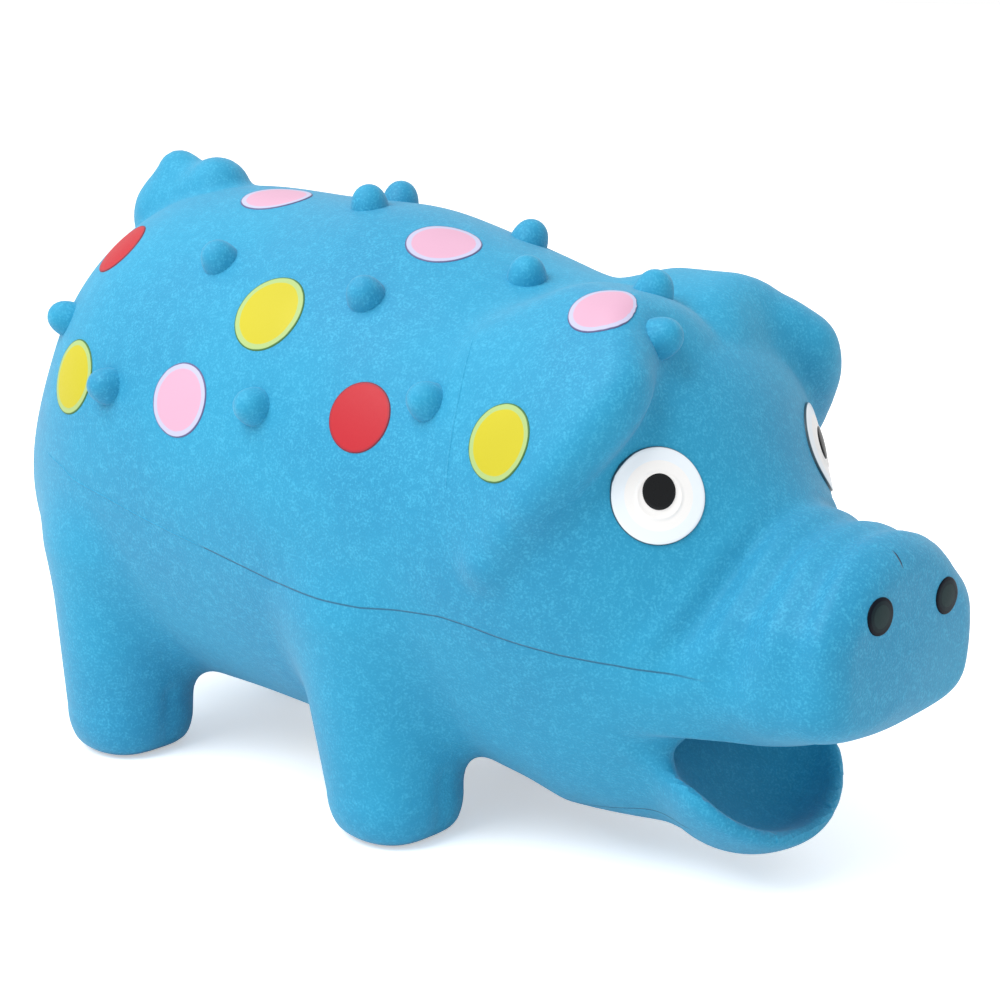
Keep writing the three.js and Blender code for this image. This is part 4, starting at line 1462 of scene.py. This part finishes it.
    def build(self, trees: LayingTrees, latex: bpy.types.Material) -> bpy.types.Object:
        """Makes the whole skin as one closed mesh.

        Args:
            trees: The trees that lay things on the skin.
            latex: Its material.

        Returns:
            The finished skin.
        """
        faces = [tuple(polygon.vertices) for polygon in self.bare.data.polygons]
        skin = self.workshop.add("pig_skin", self.workshop.points_of(self.bare), faces)
        self.workshop.cut(skin, self.bumps(trees, latex), Cut.ADD)
        self.workshop.cut(skin, self.inside(), Cut.TAKE)
        self.workshop.cut(skin, self.port(), Cut.TAKE)
        self.workshop.cleaned(skin, self.sliver * MM)
        self.workshop.smoothed(skin)
        skin.data.set_sharp_from_angle(angle=self.crease)
        self.note_lines(skin)
        self.workshop.finished(skin, latex, "toy", "blue_latex", "latex_skin")
        return skin

    def note_lines(self, skin: bpy.types.Object) -> None:
        """Stores beside which fine line each point of the skin lies: how far sideways, and how deep it is there.

        Args:
            skin: The finished skin.
        """
        points = self.workshop.points_of(skin)
        values = np.zeros((len(points), 3))
        values[:, 0] = self.far_aside
        for line in self.lines:
            for side in Side if line.twin else (Side.RIGHT,):
                corners = np.array(line.route) * (1, -side.value, 1)
                margin = line.reach + self.near_margin
                low, high = corners.min(axis=0) - margin, corners.max(axis=0) + margin
                close = np.flatnonzero(((points > low) & (points < high)).all(axis=1))
                facing = slope_of(self.shape.outside, points[close])
                aside, depth = line.measured(points[close], facing, side)
                found = np.abs(aside) < np.abs(values[close, 0])
                values[close[found], 0], values[close[found], 1] = aside[found], depth[found]
        self.workshop.note(skin, self.LINE, values)

    def seams(self, trees: LayingTrees, latex: bpy.types.Material) -> None:
        """Lays the parting seams on both flanks and behind both ears.

        Args:
            trees: The trees that lay things on the skin.
            latex: Their material.
        """
        sizes = {"Radius": self.seam_radius, "Spacing": self.seam_spacing, "Sink": self.seam_sink}
        values = {"Skin": self.bare, "Material": latex, **{name: size * MM for name, size in sizes.items()}}
        for label, way in (("flank", self.flank_seam), ("ear", self.ear_seam)):
            for side in Side:
                route = np.array([(x, -side.value * y, z) for x, y, z in way], float)
                links = [(i, i + 1) for i in range(len(route) - 1)]
                seam = self.workshop.add(f"{label}_seam_{side.name.lower()}", route, [], links)
                trees.grown(seam, trees.seam, values)
                self.workshop.smoothed(seam)
                self.workshop.finished(seam, latex, "toy", "blue_latex")


@dataclass(frozen=True)
class FilmForm:
    """The section of a round paint film: half sizes, thickness and an optional raised ring."""

    across: float
    along: float
    thickness: float
    base: float = 0.0
    dome: float = 0.0
    ring_at: float = 0.0
    ring_width: float = 1.0
    ring_height: float = 0.0
    underside: float = 0.1
    rings: int = 26
    edge_rings: int = 4
    sides: int = 64

    def height(self, reach: np.ndarray) -> np.ndarray:
        """Height of the top of the film above the skin, by its reach from 0 to 1.

        Args:
            reach: How far out each place lies, 0 at the middle.

        Returns:
            A height for each in millimetres.
        """
        edge = self.thickness / self.across
        rounded = np.clip((1 - reach) / edge, 0, 1)
        top = self.thickness * np.sqrt(1 - (1 - rounded) ** 2)
        ring = self.ring_height * np.exp(-(((reach - self.ring_at) / self.ring_width) ** 2))
        return self.base + top + self.dome * (1 - reach**2) + ring

    def mesh(self) -> tuple[np.ndarray, list[tuple[int, ...]], np.ndarray]:
        """The flat film: vertices with their height as z, faces, and the reach of each vertex.

        Returns:
            The vertices, the faces and the reaches.
        """
        even = np.linspace(0, 1, self.rings + 1)[1:]
        edge = 1 - (1 - even[-self.edge_rings :]) * 0.5
        radii = np.concatenate([even[: -self.edge_rings], edge])
        bottom = self.base - self.underside
        angles = 2 * np.pi * np.arange(self.sides) / self.sides
        rows, reaches = [], []
        for layer in (0, 1):
            for reach in radii:
                height = float(self.height(np.array(reach))) if layer == 0 else bottom
                rows.append(np.stack([
                    self.across * reach * np.cos(angles),
                    self.along * reach * np.sin(angles),
                    np.full(self.sides, height),
                ], axis=1))
                reaches.append(np.full(self.sides, reach))
        middle_top = float(self.height(np.array(0.0)))
        rows.append(np.array([[0, 0, middle_top], [0, 0, bottom]]))
        reaches.append(np.zeros(2))
        count = len(radii)
        crown, root = 2 * count * self.sides, 2 * count * self.sides + 1
        faces: list[tuple[int, ...]] = []
        for side in range(self.sides):
            after = (side + 1) % self.sides
            faces.append((crown, side, after))
            faces.append((root, count * self.sides + after, count * self.sides + side))
            for ring in range(count - 1):
                near, far = ring * self.sides, (ring + 1) * self.sides
                faces.append((near + side, far + side, far + after, near + after))
                near, far = near + count * self.sides, far + count * self.sides
                faces.append((near + after, far + after, far + side, near + side))
            upper, lower = (count - 1) * self.sides, (2 * count - 1) * self.sides
            faces.append((upper + side, lower + side, lower + after, upper + after))
        return np.concatenate(rows), faces, np.concatenate(reaches)


@dataclass
class PaintWork:
    """Eyes, nostrils and spots, each a film of flexible paint on the skin."""

    shape: PigShape
    workshop: Workshop
    bare: bpy.types.Object
    trees: LayingTrees
    effects: SurfaceEffects
    spot_thickness: float = 0.16
    eye_form: FilmForm = FilmForm(
        8.0, 8.0, 0.45, dome=0.15, ring_at=0.455, ring_width=0.035, ring_height=0.2, rings=48, sides=80
    )
    pupil_form: FilmForm = FilmForm(2.75, 3.0, 0.3, base=0.52, dome=0.2)
    nostril_form: FilmForm = FilmForm(3.5, 3.1, 0.2, dome=0.2)
    eyes_at: tuple[Triple, Triple] = ((67.8, -23.4, 70.2), (69.3, 18.5, 71.3))
    pupil_rise: float = 0.7
    nostrils_at: tuple[Triple, Triple] = ((102.0, -10.0, 53.6), (102.0, 10.0, 52.8))
    spine_spots: tuple[tuple[str, float, Triple], ...] = (
        ("pink", 6.9, (-37, -6, 109)), ("pink", 6.9, (8.5, -9, 104)), ("pink", 6.5, (54, -20, 98)),
    )
    flank_spots: tuple[tuple[str, str, float, Triple], ...] = (
        ("red", "yellow", 6.2, (-62.5, 20.8, 96.8)),
        ("yellow", "pink", 7.3, (-61, 38, 76)),
        ("pink", "red", 6.9, (-28, 40, 76)),
        ("yellow", "yellow", 7.6, (-13, 31, 92)),
        ("red", "pink", 6.3, (14.5, 37, 78)),
        ("yellow", "red", 6.7, (45.8, 37, 78)),
    )

    def film(self, name: str, form: FilmForm, place: Triple, material: bpy.types.Material) -> bpy.types.Object:
        """Lays one film on the skin.

        Args:
            name: Name of the piece.
            form: Its section.
            place: The point near the skin at which its middle lies.
            material: Its paint.

        Returns:
            The film as a plain mesh.
        """
        middle = settled(self.shape.outside, np.array([place], float), rounds=8)
        facing = slope_of(self.shape.outside, middle)[0]
        facing /= np.linalg.norm(facing)
        upright = np.array([0.0, 0.0, 1.0]) if abs(facing[2]) < 0.9 else np.array([-1.0, 0.0, 0.0])
        across = np.cross(upright, facing)
        across /= np.linalg.norm(across)
        along = np.cross(facing, across)
        vertices, faces, reach = form.mesh()
        piece = self.workshop.add(name, vertices - self.workshop.shift, faces)
        self.workshop.note(piece, "reach", reach)
        values = {
            "Skin": self.bare,
            "Place": self.workshop.placed(middle)[0].tolist(),
            "Across": across.tolist(),
            "Along": along.tolist(),
            "Material": material,
        }
        self.trees.grown(piece, self.trees.film, values)
        points = self.workshop.points_of(piece)
        self.workshop.move_points(piece, settled(self.shape.outside, points, vertices[:, 2], rounds=3))
        self.workshop.smoothed(piece)
        return piece

    def build_eyes(self) -> None:
        """Paints both eyes and both nostrils."""
        white = PaintFinish(
            "eye white", daylight(232, 230, 228), daylight(223, 230, 236), daylight(44, 72, 84),
            rim_from=0.7, outline_from=0.965, waver=0.0, roughness=0.32,
        ).material(self.effects)
        black = PaintFinish(
            "pupil black", daylight(14, 16, 18), daylight(14, 16, 18), daylight(16, 20, 24),
            waver=0.0, roughness=0.3, specular=0.12, gloss=0.15,
        ).material(self.effects)
        # nostril paint: dark teal with a darker rim and a near-black outline; its paler middle is a painted highlight
        # of the gloss
        dark = PaintFinish(
            "nostril black", daylight(28, 48, 50), daylight(18, 34, 40), daylight(6, 14, 26),
            rim_from=0.6, outline_from=0.8, waver=0.02, roughness=0.4, specular=0.08,
        ).material(self.effects)
        for side, eye, nostril in zip(Side, self.eyes_at, self.nostrils_at):
            name = side.name.lower()
            pupil = (eye[0], eye[1], eye[2] + self.pupil_rise)
            pieces = (
                ("eye_disc", self.eye_form, eye, white, "white_paint", "eye_white"),
                ("eye_pupil", self.pupil_form, pupil, black, "black_paint", "pupil"),
                ("nose_hole", self.nostril_form, nostril, dark, "black_paint", "nostril"),
            )
            for label, form, place, material, slot, node in pieces:
                piece = self.film(f"{label}_{name}", form, place, material)
                self.workshop.finished(piece, material, "toy", slot, f"{node}_{name}")

    def build_spots(self) -> None:
        """Paints the spots in the order of their nodes."""
        finishes = {
            "pink": PaintFinish("pink paint", daylight(200, 154, 178), daylight(176, 177, 203), daylight(90, 88, 126)),
            "yellow": PaintFinish(
                "yellow paint", daylight(184, 174, 20), daylight(156, 180, 112), daylight(60, 106, 50)
            ),
            "red": PaintFinish(
                "red paint", daylight(174, 18, 34), daylight(162, 20, 38), daylight(116, 22, 44), rim_from=0.9
            ),
        }
        paints = {colour: finish.material(self.effects) for colour, finish in finishes.items()}
        spots = list(self.spine_spots)
        for near, far, radius, (x, y, z) in self.flank_spots:
            spots += [(near, radius, (x, -y, z)), (far, radius, (x, y, z))]
        counts = dict.fromkeys(paints, 0)
        for colour, radius, place in spots:
            counts[colour] += 1
            number = counts[colour]
            form = FilmForm(radius, radius, self.spot_thickness)
            piece = self.film(f"{colour}_dot_{number}", form, place, paints[colour])
            self.workshop.finished(piece, paints[colour], "toy", f"{colour}_paint", f"spot_{colour}_{number}")


@dataclass
class Stuffing:
    """The fibre that fills the skin, with a pocket for the grunter."""

    shape: PigShape
    workshop: Workshop
    step: float = 2.4
    gap: float = 0.6
    front: float = 50.0
    pocket_x: float = LatexSkin.port_x
    pocket_radius: float = 15.3
    pocket_top: float = 42.0
    lump: float = 0.5
    finish: PlainFinish = PlainFinish(
        "white fibre", daylight(244, 243, 238), daylight(214, 212, 204), 0.9, 1.6, 0.6, 0.35
    )

    def field_of(self, points: np.ndarray) -> np.ndarray:
        """Distance to the stuffing, a little lumpy all over.

        Args:
            points: Points in millimetres.

        Returns:
            A distance for each, below zero inside.
        """
        x, y, z = points.T
        lumps = np.sin(0.42 * x + 0.6 * np.sin(0.3 * y)) * np.sin(0.47 * y + 0.3 * z) * np.sin(0.39 * z + 0.2 * x)
        filled = self.shape.hollow(points) + self.gap + self.lump * (1 + lumps)
        pocket = np.maximum(np.hypot(x - self.pocket_x, y) - self.pocket_radius, z - self.pocket_top)
        return np.maximum(np.maximum(filled, -pocket), x - self.front)

    def build(self) -> None:
        """Makes the stuffing."""
        fibre = self.finish.material()
        vertices, faces = Mesher(self.step).mesh(self.field_of, refine=False)
        piece = self.workshop.add("fibre_stuffing", vertices, faces)
        self.workshop.smoothed(piece)
        self.workshop.finished(piece, fibre, "toy", "stuffing", "fibre_filling")


@dataclass
class Grunter:
    """The grunting unit in the belly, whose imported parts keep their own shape."""

    case: PlainFinish = PlainFinish(
        "grunter shell", daylight(236, 232, 220), daylight(224, 220, 206), 0.45, 1.2, 0.05
    )
    reed: PlainFinish = PlainFinish("reed plastic", daylight(222, 216, 200), daylight(206, 200, 184), 0.38, 0.8, 0.04)
    tongue: PlainFinish = PlainFinish("reed film", daylight(206, 122, 62), daylight(188, 104, 50), 0.3, 0.6, 0.02)

    def build(self) -> None:
        """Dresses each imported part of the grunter."""
        groups = (
            (self.case, ("grunter_case", "grunter_cap")),
            (self.reed, ("reed_tube", "reed_wedge")),
            (self.tongue, ("reed_tongue",)),
        )
        for finish, names in groups:
            material = finish.material()
            for name in names:
                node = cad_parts[name]
                node.data.materials.clear()
                node.data.materials.append(material)
                log.info("%s: dressed as %s", name, finish.name)


@dataclass
class Studio:
    """Pale floor, soft lights and the photograph's camera."""

    workshop: Workshop
    azimuth: float = 41.0
    elevation: float = 13.5
    distance: float = 470.0
    target: Triple = (-6.3, 23.2, 49.4)
    lens: float = 86.4
    sensor: float = 36.0
    sky: float = 0.88
    floor_reach: float = 4.0
    floor_tone: tuple[float, float, float, float] = (0.93, 0.93, 0.93, 1.0)
    floor_glow: float = 0.45

    def direction(self, azimuth: float, elevation: float) -> np.ndarray:
        """The way from the object to a point round it, azimuth 0 in front of the right side."""
        a, e = math.radians(azimuth), math.radians(elevation)
        return np.array([math.sin(a) * math.cos(e), -math.cos(a) * math.cos(e), math.sin(e)])

    def build_camera(self) -> None:
        """Sets the camera where the photograph was taken."""
        camera = bpy.data.cameras.new("photo camera")
        camera.lens = self.lens
        camera.sensor_width = self.sensor
        camera.clip_start = 0.01
        camera.clip_end = 20.0
        holder = added("photo camera", camera)
        back = self.direction(self.azimuth, self.elevation)
        place = np.array(self.target) + self.distance * back
        holder.location = self.workshop.placed(place[None])[0].tolist()
        holder.rotation_euler = (math.radians(90 - self.elevation), 0.0, math.radians(self.azimuth))
        bpy.context.scene.camera = holder

    def add_light(
        self, name: str, azimuth: float, elevation: float, distance: float, size: float, power: float
    ) -> None:
        """Adds a square soft light that faces the middle of the object.

        Args:
            name: Name of the light.
            azimuth: Its place round the object in degrees.
            elevation: Its height over the horizon in degrees.
            distance: Its distance in metres.
            size: Its side in metres.
            power: Its power in watts.
        """
        light = bpy.data.lights.new(name, "AREA")
        light.shape = "SQUARE"
        light.size = size
        light.energy = power
        holder = added(name, light)
        place = self.direction(azimuth, elevation) * distance + np.array([0.0, 0.0, 0.05])
        holder.location = place.tolist()
        holder.rotation_euler = (math.radians(90 - elevation), 0.0, math.radians(azimuth))

    def build_floor(self) -> None:
        """Lays the floor."""
        mesh = bpy.data.meshes.new("floor")
        corners = [(x * self.floor_reach, y * self.floor_reach, 0) for x, y in ((-1, -1), (1, -1), (1, 1), (-1, 1))]
        mesh.from_pydata(corners, [], [(0, 1, 2, 3)])
        floor = added("floor", mesh)
        material = bpy.data.materials.new("floor")
        material.use_nodes = True
        shader = material.node_tree.nodes["Principled BSDF"]
        sheet = NodeSheet(material.node_tree)
        seen = sheet.add("ShaderNodeLightPath").outputs["Is Camera Ray"]
        Finish.dress(sheet, shader, {
            "Base Color": self.floor_tone,
            "Roughness": 0.9,
            "Specular IOR Level": 0.1,
            "Emission Color": seen,
            "Emission Strength": self.floor_glow,
        })
        mesh.materials.append(material)

    def build_sky(self) -> None:
        """Sets an even white sky, which looks brighter than it lights."""
        world = bpy.data.worlds.new("studio")
        world.use_nodes = True
        background = world.node_tree.nodes["Background"]
        sheet = NodeSheet(world.node_tree)
        seen = sheet.add("ShaderNodeLightPath").outputs["Is Camera Ray"]
        strength = sheet.maths("ADD", self.sky, sheet.maths("MULTIPLY", seen, 1.0 - self.sky))
        Finish.dress(sheet, background, {"Color": (1.0, 1.0, 1.0, 1.0), "Strength": strength})
        bpy.context.scene.world = world

    def build(self) -> None:
        """Sets up the floor, the light and the camera."""
        self.build_floor()
        self.build_camera()
        self.build_sky()
        bpy.context.scene.view_settings.view_transform = "Standard"
        self.add_light("key", -16.0, 56.0, 0.9, 0.7, 7.8)


def main() -> None:
    """Builds the pig, one sub-assembly after another."""
    logging.basicConfig(level=logging.INFO, format="%(name)s: %(message)s")
    shape = PigShape()
    low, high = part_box("grunter_case")
    shift = (low.x + high.x) / 2 / MM - LatexSkin.port_x
    log.info("packed frame lies %.3f mm along x", shift)
    workshop = Workshop(shift)
    trees = LayingTrees()
    effects = SurfaceEffects()
    latex = LatexFinish().material(effects)
    skin = LatexSkin(shape, workshop)
    skin.build_bare()
    skin.build(trees, latex)
    skin.seams(trees, latex)
    paint = PaintWork(shape, workshop, skin.bare, trees, effects)
    paint.build_eyes()
    paint.build_spots()
    Stuffing(shape, workshop).build()
    Grunter().build()
    workshop.discard(skin.bare)
    Studio(workshop).build()


if __name__ == "__main__":
    main()
